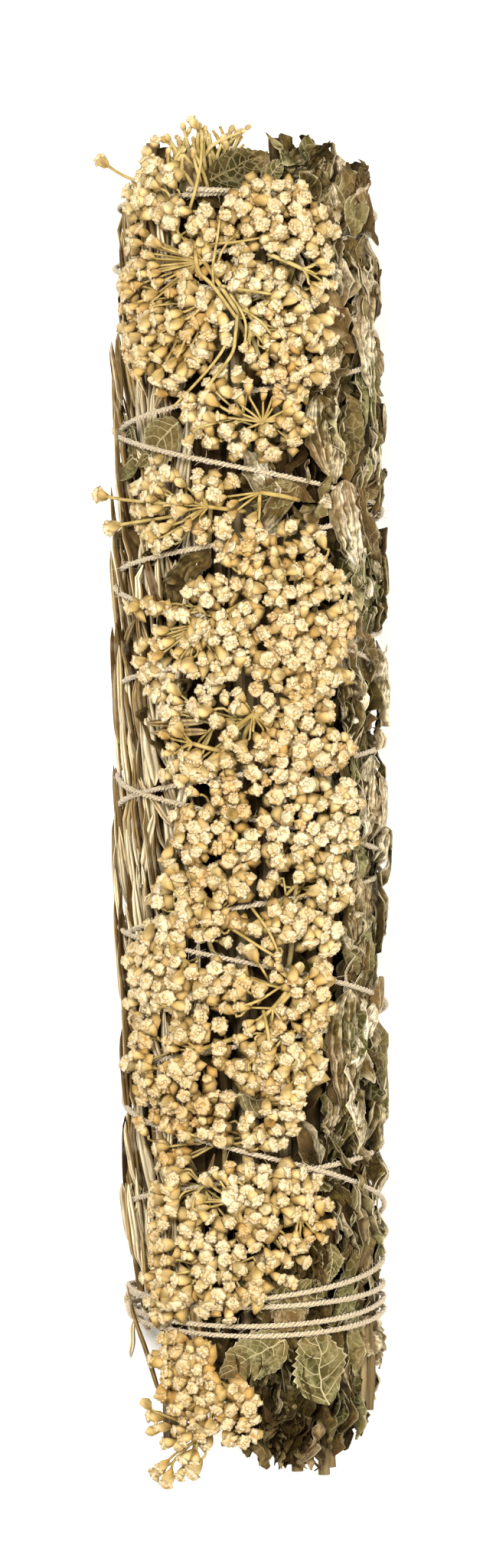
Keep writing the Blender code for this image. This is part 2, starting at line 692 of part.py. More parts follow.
def strand_distance(u, s, strands):
    """Distance along the bundle from (u, s) to the nearest strand that passes it."""
    nearest = FAR
    girth = 2 * HALF_GIRTH
    for strand in strands:
        for (u0, s0, _), (u1, s1, _) in zip(strand, strand[1:]):
            run = (u - u0) % girth
            if run <= abs(u1 - u0) + PASSING_SLACK:
                nearest = min(nearest, abs(s - (s0 + (s1 - s0) * run / abs(u1 - u0))))
    return nearest


def knot(u, s, r, target):
    """An overhand knot on the side of the bundle: two humped turns that cross, and two cut tails."""
    for heading, rise in KNOT_TURNS:
        points = []
        for k in range(KNOT_STEPS + 1):
            reach = KNOT_REACH * (2 * k / KNOT_STEPS - 1)
            hump = rise * (1 - (reach / KNOT_REACH) ** 2)
            points.append(place(u + reach * math.cos(heading), s + reach * math.sin(heading), r + hump))
        tube("knot", points, TWINE_RADIUS, TWINE_SIDES, target)
    for heading, length in KNOT_TAILS:
        points = []
        for share, rise in TAIL_RISE:
            reach = length * share
            points.append(place(u + reach * math.cos(heading), s + reach * math.sin(heading), r + rise))
        tube("tail", points, TAIL_RADIUS, TWINE_SIDES, target)


def press_slab():
    """The surface that the bundle lies on, which presses the twine's undersides flat."""
    bpy.ops.mesh.primitive_cube_add(size=1, location=(0, 0, -SLAB_SIZE[2] / 2))
    slab = bpy.context.object
    slab.name = "press_slab"
    slab.scale = SLAB_SIZE
    slab.hide_render = True
    slab.display_type = "WIRE"
    cutters = collection("cutters")
    for home in list(slab.users_collection):
        home.objects.unlink(slab)
    cutters.objects.link(slab)
    return slab


def twine(up, down, target, material):
    """The cotton twine: wound up the bundle, back down over itself, and knotted at the side."""
    others = collection("twine_others")
    base = tube("twine", [place(*point) for point in up], TWINE_RADIUS, TWINE_SIDES, target)
    tube("down", [place(*point) for point in down], TWINE_RADIUS, TWINE_SIDES, others)
    knot(*down[-1], others)
    whole = joined("twine", base, others, target, material)
    press = whole.modifiers.new("press", "BOOLEAN")
    press.operation = "DIFFERENCE"
    press.object = press_slab()
    return whole


def main():
    clear_scene()
    bundle = collection("herb_bundle")
    finish = materials()
    knot_turn = KNOT_U / (2 * HALF_GIRTH)
    up = twine_strand(WIND_UP, knot_turn, len(WIND_UP) - 1, 0.0)
    down = twine_strand(WIND_DOWN, -LAYER_OVERLAP, len(WIND_DOWN) - 1 + knot_turn, SECOND_LAYER_LIFT)
    strands = [up, down]

    for k, (name, rows) in enumerate(STEM_BUNCHES.items()):
        stem_bunch(name, rows, random.Random(1 + k), bundle, finish["woody_stem"])
    for k, sprig in enumerate(MINT_SPRIGS):
        mint_sprig(f"mint_sprig_{k + 1}", *sprig, random.Random(20 + k), bundle, finish["mint_leaf"])
    for k, (name, leaf) in enumerate(FRONT_LEAVES.items()):
        front_leaf(name, leaf, random.Random(40 + k), bundle, finish["mint_leaf"])
    for k, u in enumerate(ROSEMARY_SPRIGS):
        rosemary_sprig(f"rosemary_sprig_{k + 1}", u, random.Random(60 + k), bundle, finish["rosemary"])
    lobes = lobe_middles()
    for index in range(len(YARROW_HEADS)):
        name = f"yarrow_head_{index + 1:02d}"
        yarrow_head(name, index, lobes, strands, random.Random(80 + index), bundle, finish["yarrow_flower"])
    loose_spray("yarrow_spray_loose", random.Random(120), bundle, finish["yarrow_flower"])
    twine(up, down, bundle, finish["cotton_twine"])


main()
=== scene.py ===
"""Looks of the dried herb bundle: yarrow florets, mint leaves, rosemary needles, cut stems and cotton twine.

Shapes are worked out in mm on the wound surface of the bundle, as (u, s, r): u round the girth from the top
line, s along the bundle and r out from its middle. place() turns them into X, Y, Z.
"""
import math

import bpy
import numpy as np
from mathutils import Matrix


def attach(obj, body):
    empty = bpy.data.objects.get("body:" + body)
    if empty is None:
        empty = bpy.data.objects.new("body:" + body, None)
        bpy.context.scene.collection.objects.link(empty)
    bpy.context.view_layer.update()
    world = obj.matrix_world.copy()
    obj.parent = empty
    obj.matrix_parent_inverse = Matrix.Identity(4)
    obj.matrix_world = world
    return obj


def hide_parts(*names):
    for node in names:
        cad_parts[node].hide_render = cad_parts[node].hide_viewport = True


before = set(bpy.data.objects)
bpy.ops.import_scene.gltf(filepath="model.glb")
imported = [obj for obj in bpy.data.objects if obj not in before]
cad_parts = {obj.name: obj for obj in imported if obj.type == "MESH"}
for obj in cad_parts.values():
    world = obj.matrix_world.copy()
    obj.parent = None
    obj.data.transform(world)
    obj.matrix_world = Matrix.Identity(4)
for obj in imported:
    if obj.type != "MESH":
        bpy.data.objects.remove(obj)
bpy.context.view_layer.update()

MM = 0.001
TAU = math.tau

# Cross-section of the bundle, in mm: a circle pressed flat where it lies
GIRTH_RADIUS = 20.5
CORNER_RADIUS = 10.0
FLAT_HALF = 6.0
INSET = GIRTH_RADIUS - CORNER_RADIUS
CORNER_AT = math.pi - math.asin(FLAT_HALF / INSET)
CIRCLE_RUN = GIRTH_RADIUS * CORNER_AT
CORNER_RUN = CORNER_RADIUS * (math.pi - CORNER_AT)
HALF_GIRTH = CIRCLE_RUN + CORNER_RUN + FLAT_HALF
TWINE_R = 21.25
TWINE_RADIUS = 0.66
CENTRE_HEIGHT = CORNER_RADIUS - INSET * math.cos(CORNER_AT) + TWINE_R - GIRTH_RADIUS + TWINE_RADIUS - 0.2

# How the middle line leans in X, and how the girth swells on the upper side: (along the bundle, mm)
AXIS_X = [(-120, 3.5), (120, 1.0)]
SWELL = [
    (-115, -0.9), (-100, -0.3), (-85, -0.3), (-68, -0.5), (-30, 0.1),
    (10, 0.8), (60, 0.1), (100, -0.4), (115, -1.2),
]
BUNDLE_HALF = 107.0

# Where the twine crosses the top line on each turn, in mm along the bundle: up, then back down
WIND_UP = [-83.4, -81.8, -79, -78, -61, -39, -16.5, 5, 24, 43, 67, 90.5, 99.6]
WIND_DOWN = [99.6, 83, 54.5, 29, -2.5, -26, -57, -91]
KNOT_TURN = -40.0 / (2 * HALF_GIRTH)
BINDING_DIP = 3.2
BINDING_TOP = -70.0
BINDING_EASE = 10.0
SECOND_LAYER_LIFT = 0.6
CROSSING_LIFT = 0.75
CROSSING_REACH = 2.6

# Yarrow heads: each is one or more lobes of (across from the middle line, along, half width, half length)
HEAD_REACH_R = 24.8
TALLEST_R = 26.3
HEAD_DOME = 1.4
YARROW_HEADS = [
    [(-15.4, 99.2, 5.4, 5.6), (-9.6, 94.4, 5.8, 5.4)],
    [(6.0, 95.6, 9.5, 6.6)],
    [(-15.2, 84.2, 6.4, 5.6), (-13.4, 75.2, 8.2, 6.6)],
    [(3.0, 85.2, 9.5, 5.0)],
    [(8.2, 74.0, 8.0, 6.0)],
    [(-0.3, 62.4, 9.4, 7.4)],
    [(-10.2, 48.8, 8.4, 6.4)],
    [(6.0, 39.2, 8.6, 6.4)],
    [(-16.2, 31.0, 5.2, 6.0), (-6.0, 28.8, 7.4, 7.6)],
    [(9.8, 25.8, 9.0, 7.8)],
    [(8.2, 11.0, 7.2, 7.2)],
    [(-8.4, 10.0, 8.0, 5.4)],
    [(-5.4, -3.6, 7.2, 7.0)],
    [(11.0, -4.2, 8.4, 8.0)],
    [(8.4, -18.2, 8.2, 5.8)],
    [(-7.8, -15.8, 9.0, 5.6)],
    [(-13.6, -27.0, 8.4, 6.0)],
    [(4.2, -30.2, 9.2, 7.2)],
    [(-13.6, -41.2, 8.2, 6.6)],
    [(5.2, -43.6, 7.6, 6.0)],
    [(-7.2, -53.4, 10.0, 5.2)],
    [(-8.6, -65.0, 7.4, 7.0), (1.6, -65.4, 7.4, 7.0)],
    [(-9.6, -77.0, 10.0, 5.6)],
    [(-9.6, -92.6, 8.4, 6.6)],
]

# Where a head's stalk forks, from its middle: (across, along, how far under the florets' tops)
FORK_UNDER = (0.0, 0.0, 9.0)
HEAD_FORKS = {
    1: (5.0, -3.0, 5.0), 3: (8.5, -1.0, 4.4), 4: (-4.0, -6.0, 5.0), 5: (-6.5, 4.0, 4.4), 6: (2.5, -0.5, 4.2),
    7: (3.0, 0.5, 4.4), 8: (0.0, -6.0, 5.2), 9: (7.0, 1.0, 4.6), 12: (7.0, 3.5, 4.6), 15: (0.0, 5.0, 5.2),
    16: (-1.0, -4.5, 5.2), 18: (3.5, 0.5, 4.2), 20: (1.0, 6.0, 4.6), 22: (0.0, 4.0, 6.0), 23: (2.0, 3.0, 6.0),
}

# Space between florets, then the lower ones between them and the lumps that close the gaps
FLORET_SPACING = 2.02
FILL_SPACING = 1.5
FILL_DEPTH = 1.5
FILL_SHARE = 0.8
BED_PROFILE = [(-0.8, 0.0), (0.0, 1.35), (0.8, 0.0)]
BED_SIDES = 5
BED_STEP = 0.8
BED_DEPTH = 2.3
BED_HEIGHT = 0.48
BED_RIM = 1.0
FLORET_HEIGHT = 3.2
FLORET_SCALES = (0.76, 1.14)
DARTS = 26000

# Where leaves, needles and stems end, as (X, along), in mm
TOP_END = [(-24, 93), (-19.5, 97), (-16.5, 105), (-12, 108), (8, 109.5), (16, 108), (19, 105.5), (21, 101.5), (24, 92)]
BOTTOM_END = [(-22, -86), (-15, -91), (-5, -100), (0, -105.5), (4, -108), (15, -109), (20, -103.5), (23, -99), (25, -90)]

# How far the flowers reach to the left and right: (along the bundle, left X, right X), in mm
FLOWER_EDGES = [
    (-103.5, -6.5, 1.5), (-100.6, -10.0, 4.4), (-98.5, -11.5, 5.0), (-94.4, -12.9, 0.6), (-91.2, -14.1, -5.0),
    (-87.0, -14.4, -4.5), (-84.5, -14.6, -1.5), (-80.0, -15.4, 3.7), (-77.5, -15.8, 8.7), (-74.4, -15.6, 13.7),
    (-71.3, -15.4, 14.2), (-63.8, -15.6, 14.2), (-57, -15.4, 9.6), (-50, -17.0, 9.6), (-43.8, -19.0, 14.2),
    (-31.3, -19.0, 15.2), (-21.3, -17.6, 16.5), (-13.8, -14.6, 18.0), (-7.5, -10.8, 19.8), (0, -10.4, 20.0),
    (6.3, -13.8, 18.4), (13.8, -14.6, 16.5), (21.3, -17.6, 17.8), (27.5, -17.6, 19.2), (35, -15.6, 20.6),
    (40, -13.8, 15.6), (44, -18.8, 12.5), (47, -19.0, 2.0), (54.4, -15.4, 2.6), (57.5, -9.4, 10.8), (65, -9.0, 12.6),
    (70, -18.0, 14.4), (81.3, -20.3, 16.4), (93.8, -19.4, 15.8),
    (96.5, -19.0, 15.0), (98.8, -18.6, 12.6), (101.0, -18.2, 8.0), (102.0, -18.0, -11.2), (103.6, -17.8, -12.0),
    (105.2, -17.4, -14.6),
]

# Places kept clear of flowers, where a leaf or the twine shows: (X, along, half width, half length)
CLEARINGS = [
    (-12.8, 59.4, 4.6, 4.8), (-10.5, 38.2, 6.5, 3.6), (5.8, 49.4, 8.4, 4.0), (1.6, -48.2, 4.0, 2.2), (-6.0, 100.3, 6.8, 2.9),
    (0.0, 104.8, 5.2, 3.6), (-10.0, 19.0, 3.0, 2.2), (-9.5, 12.3, 6.4, 2.2),
]

# Stretches of twine that show between the flowers: (X, along) of the start and the end
TWINE_SHOWN = [
    (-10.5, 56.3, 5.5, 54.0), (5.5, 54.0, 13.0, 53.0), (-20.0, 35.5, -8.0, 32.5), (-0.1, -16.5, 10.6, -14.4),
    (-8.0, -24.3, 3.2, -25.3), (3.2, -25.3, 12.0, -27.6), (-13.5, -53.8, -7.5, -56.5), (-7.5, -56.5, 22.0, -58.5),
    (8.0, -81.0, 21.0, -78.0), (-10.0, -84.1, -2.8, -86.5), (-2.8, -86.5, 3.9, -86.5), (3.9, -86.5, 22.0, -83.5),
    (-18.0, 2.2, -6.0, 0.2), (-11.6, 100.3, -1.2, 99.8),
]

# Sprays of flowers that lie on their sides, so that their forked stalks show:
# (X and along of the fork, first and last heading in degrees, reach, florets, X and along of the stalk's foot)
FANS = [
    (-6.9, 88.2, 146, 218, 11.8, 17, -1.0, 79.4), (1.2, 78.5, 250, 318, 6.6, 7, -2.5, 84.5),
    (2.5, 62.0, 10, 190, 7.0, 12, 2.2, 55.5), (-6.5, 48.3, 95, 262, 6.4, 10, -0.5, 47.5),
    (2.0, 50.6, 195, 262, 6.0, 5, 9.0, 49.5), (-6.9, 29.4, 172, 232, 9.8, 9, 0.5, 33.5),
    (0.5, 14.6, 262, 345, 6.2, 7, -5.0, 10.4), (-9.2, 9.8, 128, 226, 4.8, 6, -3.0, 8.0),
    (7.2, -29.6, 25, 160, 5.8, 8, 2.5, -34.8), (3.2, -33.2, 190, 300, 5.4, 7, 7.0, -29.0),
    (-3.5, -64.5, 60, 200, 6.4, 10, -1.0, -71.5), (7.5, -67.0, 230, 350, 5.4, 7, 3.0, -61.5),
    (9.5, 87.0, 290, 20 + 360, 5.0, 6, 4.0, 89.5),
    (-9.0, -40.0, 130, 230, 6.0, 7, -3.0, -38.0),
]
FAN_SCALE = 0.82

# Long stalks that lie over the flowers: their radius, then (X, along) points
LONG_STALKS = [
    (0.36, [(-7.5, 90.1), (-6.4, 86.6), (-4.0, 84.1), (-1.7, 81.0), (-0.3, 79.0)]),
    (0.3, [(-0.1, 79.4), (-0.3, 76.4), (-0.9, 73.0), (-4.0, 68.9), (-5.8, 67.0)]),
    (0.26, [(-1.2, 76.2), (-2.9, 72.9), (-5.2, 70.0), (-7.5, 67.6), (-11.2, 64.6)]),
    (0.24, [(-1.4, 82.9), (0.6, 80.0), (1.4, 77.5), (1.1, 74.1)]),
    (0.22, [(1.4, 77.7), (3.7, 75.5), (5.4, 72.9)]),
    (0.22, [(0.6, 80.4), (4.0, 78.1), (6.9, 74.7)]),
    (0.24, [(-4.3, 84.2), (-4.0, 87.5), (-3.3, 92.0), (-2.9, 97.0)]),
    (0.22, [(-4.0, 85.3), (-2.6, 89.6), (0.1, 93.1)]),
    (0.22, [(-5.4, 91.0), (-0.3, 91.2), (4.2, 92.0)]),
    (0.28, [(-3.0, 84.2), (0.6, 83.5), (4.6, 82.9), (8.8, 82.4)]),
    (0.28, [(-1.6, -19.9), (1.2, -21.6), (4.6, -23.8), (7.1, -25.2)]),
    (0.26, [(2.3, -16.8), (5.1, -20.7), (7.1, -24.6)]),
    (0.24, [(-0.5, -27.4), (3.2, -28.8), (7.4, -29.9)]),
    (0.24, [(-0.2, -33.0), (3.4, -31.9), (7.4, -29.6)]),
    (0.3, [(4.3, -33.5), (5.1, -38.0), (5.1, -43.0)]),
    (0.26, [(6.0, -40.0), (7.4, -42.8), (8.7, -45.5)]),
]
LONG_STALK_R = 25.5
LONG_STALK_SINK = 1.6
LONG_STALK_TINT = 0.75
LONG_STALK_ROOM = 0.25

# Florets that have slipped out of their heads, by head number: the (u, s, r) points of each stalk
STRAY_FLORETS = {
    1: [
        [(-14.0, 100.5, 23.4), (-19.0, 102.5, 24.8), (-22.5, 104.5, 25.6), (-24.2, 105.5, 26.0)],
        [(-8.2, 96.5, 23.6), (-6.6, 103.0, 23.6), (-6.6, 109.0, 22.6), (-8.2, 111.4, 22.8)],
    ],
    7: [
        [(-11.0, 48.8, 23.6), (-18.5, 49.6, 24.8), (-21.5, 50.2, 26.0), (-23.4, 50.6, 26.6)],
        [(-11.0, 46.8, 23.6), (-17.0, 46.0, 24.6), (-19.4, 45.6, 25.6), (-21.2, 45.2, 26.2)],
    ],
}
LOOSE_STALK = [(-9.4, -94.6, 18.9), (-9.4, -98.4, 19.2), (-9.8, -101.6, 20.6)]
# Where its florets are, as (X, along)
LOOSE_FLORETS = [
    (-16.3, -97.5), (-15.6, -100.2), (-16.3, -103.1), (-12.9, -104.6), (-10.6, -105.6), (-9.4, -107.5),
    (-8.1, -109.6), (-10.6, -110.2), (-12.9, -108.8), (-14.7, -110.0), (-11.9, -111.6), (-7.3, -107.8),
    (-13.9, -101.9), (-11.1, -102.4), (-8.9, -104.2),
]
LOOSE_FLORET_R = 22.3

# Sprigs round the girth: (u of the stem, r of the leaves, first leaf, leaf spacing, leaves)
LEAF_OUTER_R = 19.5
LEAF_INNER_R = 17.8
MINT_SPRIGS = [
    (19.4, LEAF_OUTER_R, -99.0, 41.0, 5),
    (28.4, LEAF_INNER_R, -90.0, 40.0, 5),
    (37.4, LEAF_OUTER_R, -98.0, 41.0, 5),
    (46.2, LEAF_INNER_R, -88.0, 46.0, 4),
    (55.2, LEAF_OUTER_R, -96.0, 48.0, 4),
    (64.2, LEAF_INNER_R, -84.0, 48.0, 4),
    (-54.8, LEAF_OUTER_R, -94.0, 48.0, 4),
]
MINT_LEAF_LENGTH = 38.0
MINT_LEAF_WIDTH = 16.4
MINT_STEM_R = 15.0
LEAF_TEETH = 11
LEAF_ROWS = 3 * LEAF_TEETH + 1
LEAF_COLUMNS = 17
LEAF_SKIN = 0.16
ROSEMARY_SPRIGS = [-15.4, -24.8, -34.2, -43.2]
ROSEMARY_STEM_R = 15.0

# Single mint leaves among the flowers: name, then (u, s, r, length, width, heading in degrees, foot)
FRONT_LEAVES = {
    "mint_leaf_top": (-4.5, 97.5, 19.4, 15.0, 11.0, -24, (-3.4, 94.6, 18.9)),
    "mint_leaf_left": (-22.5, 55.5, 20.2, 15.0, 12.0, -62, (-19.9, 54.2, 16.4)),
    "mint_leaf_middle": (-11.8, 45.2, 19.4, 24.0, 11.0, -104, (-8.6, 45.6, 18.7)),
    "mint_leaf_low": (-3.0, -47.6, 19.4, 10.0, 6.5, 98, (-5.6, -47.2, 18.8)),
    "mint_leaf_bottom_left": (2.4, -73.5, 19.45, 19.0, 10.5, 166, (1.6, -70.3, 18.9)),
    "mint_leaf_bottom_right": (7.6, -93.5, 18.9, 14.0, 12.0, 176, (7.4, -90.6, 18.5)),
    "mint_leaf_end": (-2.6, -98.5, 19.4, 12.5, 9.0, -166, (-2.0, -95.4, 19.2)),
}


FRONT_SHAPES = {
    "mint_leaf_middle": (1.2, 1.6, 0.2, 0.5), "mint_leaf_end": (1.5, 2.4, 0.4, 0.6),
    "mint_leaf_bottom_right": (0.8, 0.6, 0.1, 0.1),
}
FRONT_LIGHTS = {"mint_leaf_left": 0.5, "mint_leaf_top": 0.5, "mint_leaf_middle": 0.3}

# Other leaves that show: (X, along, length, width, heading, the underside shows, how crumpled, how light)
SHOWN_LEAVES = [
    (-9.4, 62.4, 11.5, 8.6, -128, True, 0.1, 0.5), (14.6, -97.9, 14.0, 11.0, -9, True, 0.1, 0.7),
    (7.5, -86.0, 9.5, 6.5, 20, False, 0.3, 0.5), (-1.5, -79.5, 8.0, 5.0, 95, True, 0.2, 0.5),
    (9.4, -60.2, 9.5, 5.5, 98, True, 0.1, 0.7), (15.2, -71.6, 7.5, 5.0, 178, True, 0.1, 0.7),
    (14.2, 80.0, 11.0, 6.0, 165, True, 0.2, 0.6), (8.0, 103.0, 9.0, 6.0, 60, False, 0.3, 0.5),
    (12.0, 97.0, 9.0, 6.0, 25, True, 0.3, 0.5), (-4.6, 101.4, 10.5, 7.4, 64, True, 0.0, 0.24),
    (4.2, 101.0, 6.0, 3.6, 40, True, 0.1, 0.5), (16.6, -8.0, 12.0, 6.0, 170, False, 0.8, 0.8),
    (17.6, 22.0, 12.0, 6.0, 182, False, 0.6, 0.8), (8.2, -87.1, 13.0, 8.6, -118, True, 0.1, 0.6),
    (5.0, -81.2, 12.0, 6.0, 78, True, 0.1, 0.5), (16.4, -48.0, 9.0, 6.0, 190, False, 0.5, 0.7),
    (4.4, 52.4, 9.0, 4.6, 108, False, 0.7, 0.6), (10.0, 51.6, 9.0, 4.4, 250, True, 0.3, 0.45),
    (-4.6, 41.0, 11.0, 6.0, 230, False, 0.9, 0.4),
]

# Long pleated leaves that lie over the twine: (X, along, length, width, heading)
PLEATED_LEAVES = [
    (13.0, 67.0, 15.0, 9.5, 172), (16.4, 53.2, 17.5, 8.5, 168), (17.4, -30.4, 21.5, 9.0, 182),
    (20.0, 84.0, 17.0, 7.0, 176), (20.4, 8.0, 15.0, 6.5, 186), (18.4, -12.0, 14.0, 6.5, 178),
]


# The wound surface

def table_at(table, at):
    places, values = zip(*table)
    return np.interp(at, places, values)


def girth_angle(u):
    """(side, run, angle from straight up) at u round the girth."""
    u = (np.asarray(u, float) + HALF_GIRTH) % (2 * HALF_GIRTH) - HALF_GIRTH
    run = np.abs(u)
    corner = np.minimum(CORNER_AT + (run - CIRCLE_RUN) / CORNER_RADIUS, math.pi)
    return np.sign(u), run, np.where(run <= CIRCLE_RUN, run / GIRTH_RADIUS, corner)


def place(u, s, r):
    """The points at u round the girth, s along the bundle and r out from its middle, in mm."""
    u, s, r = np.broadcast_arrays(*(np.asarray(value, float) for value in (u, s, r)))
    side, run, angle = girth_angle(u)
    r = r + table_at(SWELL, s) * (1 + np.cos(angle)) / 2
    on_circle = run <= CIRCLE_RUN
    past_corner = np.maximum(0.0, run - CIRCLE_RUN - CORNER_RUN)
    middle_x = np.where(on_circle, 0.0, INSET * math.sin(CORNER_AT) - past_corner)
    middle_z = np.where(on_circle, 0.0, INSET * math.cos(CORNER_AT))
    reach = np.where(on_circle, r, r - INSET)
    x = side * (middle_x + reach * np.sin(angle)) + table_at(AXIS_X, s)
    return np.stack([x, s, middle_z + reach * np.cos(angle) + CENTRE_HEIGHT], -1)


def outward(u):
    """The direction straight out of the bundle at u."""
    side, _, angle = girth_angle(u)
    return np.stack([side * np.sin(angle), np.zeros_like(angle), np.cos(angle)], -1)


def u_of_across(across, r):
    return GIRTH_RADIUS * np.arcsin(across / r)


def unit(vectors):
    return vectors / np.maximum(np.linalg.norm(vectors, axis=-1, keepdims=True), 1e-9)


def waves(points, wavelength, seed, count=9):
    """Smooth noise from about -1 to 1 at points, as a sum of slanted waves."""
    rng = np.random.default_rng(seed)
    total = 0.0
    for _ in range(count):
        heading = unit(rng.normal(size=points.shape[-1]))
        total = total + np.sin(points @ heading * TAU / (wavelength * rng.uniform(0.6, 1.6)) + rng.uniform(0, TAU))
    return total / math.sqrt(count)


# Twine's route, which everything under it is pressed down by

def wind(table, turn):
    """Where the twine is along the bundle after some turns, by a smooth curve through table."""
    turn = np.asarray(turn, float)
    index = np.clip(np.floor(turn), 0, len(table) - 2).astype(int)
    t = turn - index
    rows = np.asarray(table, float)
    p0, p1 = rows[np.maximum(index - 1, 0)], rows[index]
    p2, p3 = rows[index + 1], rows[np.minimum(index + 2, len(table) - 1)]
    bend = 2 * p0 - 5 * p1 + 4 * p2 - p3
    s = 0.5 * (2 * p1 + (p2 - p0) * t + bend * t * t + (3 * p1 - p0 - 3 * p2 + p3) * t**3)
    dip = BINDING_DIP * np.maximum(0.0, np.cos(TAU * turn)) * np.minimum(1.0, (BINDING_TOP - s) / BINDING_EASE)
    return np.where(s < BINDING_TOP, s - dip, s)


def strand_distance(u, s, table):
    """Distance along the bundle from (u, s) to the nearest turn of one layer of the winding."""
    u = (np.asarray(u, float) + HALF_GIRTH) % (2 * HALF_GIRTH) - HALF_GIRTH
    nearest = np.full(np.broadcast(u, s).shape, 99.0)
    for k in range(len(table)):
        turn = k + u / (2 * HALF_GIRTH)
        near = np.abs(s - wind(table, np.clip(turn, 0, len(table) - 1)))
        nearest = np.minimum(nearest, near)
    return nearest


def ceiling(u, s):
    """How far out a leaf or needle can stand at (u, s), because the twine holds it down."""
    near = np.minimum(strand_distance(u, s, WIND_UP), strand_distance(u, s, WIND_DOWN))
    return np.minimum(TWINE_R - TWINE_RADIUS - 0.1 + 0.1 * near**2, np.where(np.abs(u) > 20, 22.4, 23.2))


# Meshes

class Heap:
    """The parts of one piece: points in mm, faces, and four numbers a point that its material reads."""

    def __init__(self):
        self.points, self.faces, self.looks, self.count = [], [], [], 0

    def add(self, points, faces, look):
        points = np.asarray(points, float).reshape(-1, 3)
        self.points.append(points)
        self.looks.append(np.broadcast_to(np.asarray(look, float), (len(points), 4)))
        for group in faces:
            self.faces.append(np.asarray(group) + self.count)
        self.count += len(points)

    def piece(self, name, material, slot, nodes=(), sharp=50):
        """Makes the piece, which rides on the bundle and stands for the CAD nodes that it names."""
        points = np.concatenate(self.points)
        points[:, 2] = np.maximum(points[:, 2], 0.02)
        corners = np.concatenate([group.ravel() for group in self.faces])
        sizes = np.concatenate([np.full(len(group), group.shape[1]) for group in self.faces])
        mesh = bpy.data.meshes.new(name)
        mesh.vertices.add(len(points))
        mesh.vertices.foreach_set("co", (points * MM).astype(np.float32).ravel())
        mesh.loops.add(len(corners))
        mesh.loops.foreach_set("vertex_index", corners.astype(np.int32))
        mesh.polygons.add(len(sizes))
        mesh.polygons.foreach_set("loop_start", (np.cumsum(sizes) - sizes).astype(np.int32))
        look = mesh.attributes.new("look", "FLOAT_COLOR", "POINT")
        look.data.foreach_set("color", np.concatenate(self.looks).astype(np.float32).ravel())
        mesh.update(calc_edges=True)
        mesh.shade_smooth()
        mesh.set_sharp_from_angle(angle=math.radians(sharp))
        mesh.materials.append(material)
        made = bpy.data.objects.new(name, mesh)
        bpy.context.scene.collection.objects.link(made)
        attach(made, "root")
        if nodes:
            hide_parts(*nodes)
        return made


def quads(rows, columns, around=False):
    """Faces between rows of points; around joins each row's last point to its first."""
    row, column = np.meshgrid(np.arange(rows - 1), np.arange(columns - (not around)), indexing="ij")
    row, column = row.ravel(), column.ravel()
    beyond = (column + 1) % columns
    return np.stack(
        [row * columns + column, row * columns + beyond, (row + 1) * columns + beyond, (row + 1) * columns + column], 1
    )


def swept(path, sections, up, look):
    """A closed bar along path: sections holds the (across, up) points of its outline at each path point."""
    path, sections = np.asarray(path, float), np.asarray(sections, float)
    rows, sides = len(path), sections.shape[-2]
    ahead = unit(np.gradient(path, axis=0))
    across = unit(np.cross(ahead, np.broadcast_to(up, path.shape)))
    up = np.cross(across, ahead)
    points = path[:, None] + sections[..., :1] * across[:, None] + sections[..., 1:] * up[:, None]
    points = np.concatenate([points.reshape(-1, 3), path[:1], path[-1:]])
    ring = np.arange(sides)
    beyond = (ring + 1) % sides
    last = (rows - 1) * sides
    start_cap = np.stack([np.full(sides, rows * sides), ring, beyond], 1)
    end_cap = np.stack([np.full(sides, rows * sides + 1), last + beyond, last + ring], 1)
    look = np.asarray(look, float)
    if look.ndim == 2:
        look = np.concatenate([np.repeat(look, sides, 0), look[:1], look[-1:]])
    return points, [quads(rows, sides, True)[:, ::-1], start_cap, end_cap], look


def round_section(radius, sides):
    turn = np.arange(sides) * TAU / sides
    ring = np.stack([np.cos(turn), np.sin(turn)], -1)
    return np.asarray(radius, float).reshape(-1, 1, 1) * ring


def tube(path, radius, sides, look, up=None):
    """A round bar along path; radius and look are one value or one for each point."""
    path = np.asarray(path, float)
    radius = np.broadcast_to(np.asarray(radius, float), len(path))
    if up is None:
        run = np.abs(path[-1] - path[0])
        up = np.eye(3)[np.argmin(run)]
    look = np.asarray(look, float)
    if look.ndim == 1:
        look = np.broadcast_to(look, (len(path), 4))
    return swept(path, round_section(radius, sides), up, look)


def slab(front, back, look):
    """A thin closed sheet between two grids of points, each (rows, columns, 3)."""
    rows, columns = front.shape[:2]
    count = rows * columns
    face = quads(rows, columns)
    edge = np.concatenate([
        np.arange(columns), np.arange(2, rows + 1) * columns - 1,
        count - 2 - np.arange(columns - 1), np.arange(rows - 2, 0, -1) * columns,
    ])
    beyond = np.roll(edge, -1)
    rim = np.stack([edge, edge + count, beyond + count, beyond], 1)
    points = np.concatenate([front.reshape(-1, 3), back.reshape(-1, 3)])
    look = np.concatenate([look.reshape(-1, 4)] * 2)
    return points, [face, face[:, ::-1] + count, rim], look


def curve(points, count):
    """A smooth line of count points through a few."""
    points = np.asarray(points, float)
    at = np.linspace(0, len(points) - 1, count)
    index = np.clip(at.astype(int), 0, len(points) - 2)
    t = (at - index)[:, None]
    p0, p1 = points[np.maximum(index - 1, 0)], points[index]
    p2, p3 = points[index + 1], points[np.minimum(index + 2, len(points) - 1)]
    bend = 2 * p0 - 5 * p1 + 4 * p2 - p3
    return 0.5 * (2 * p1 + (p2 - p0) * t + bend * t * t + (3 * p1 - p0 - 3 * p2 + p3) * t**3)
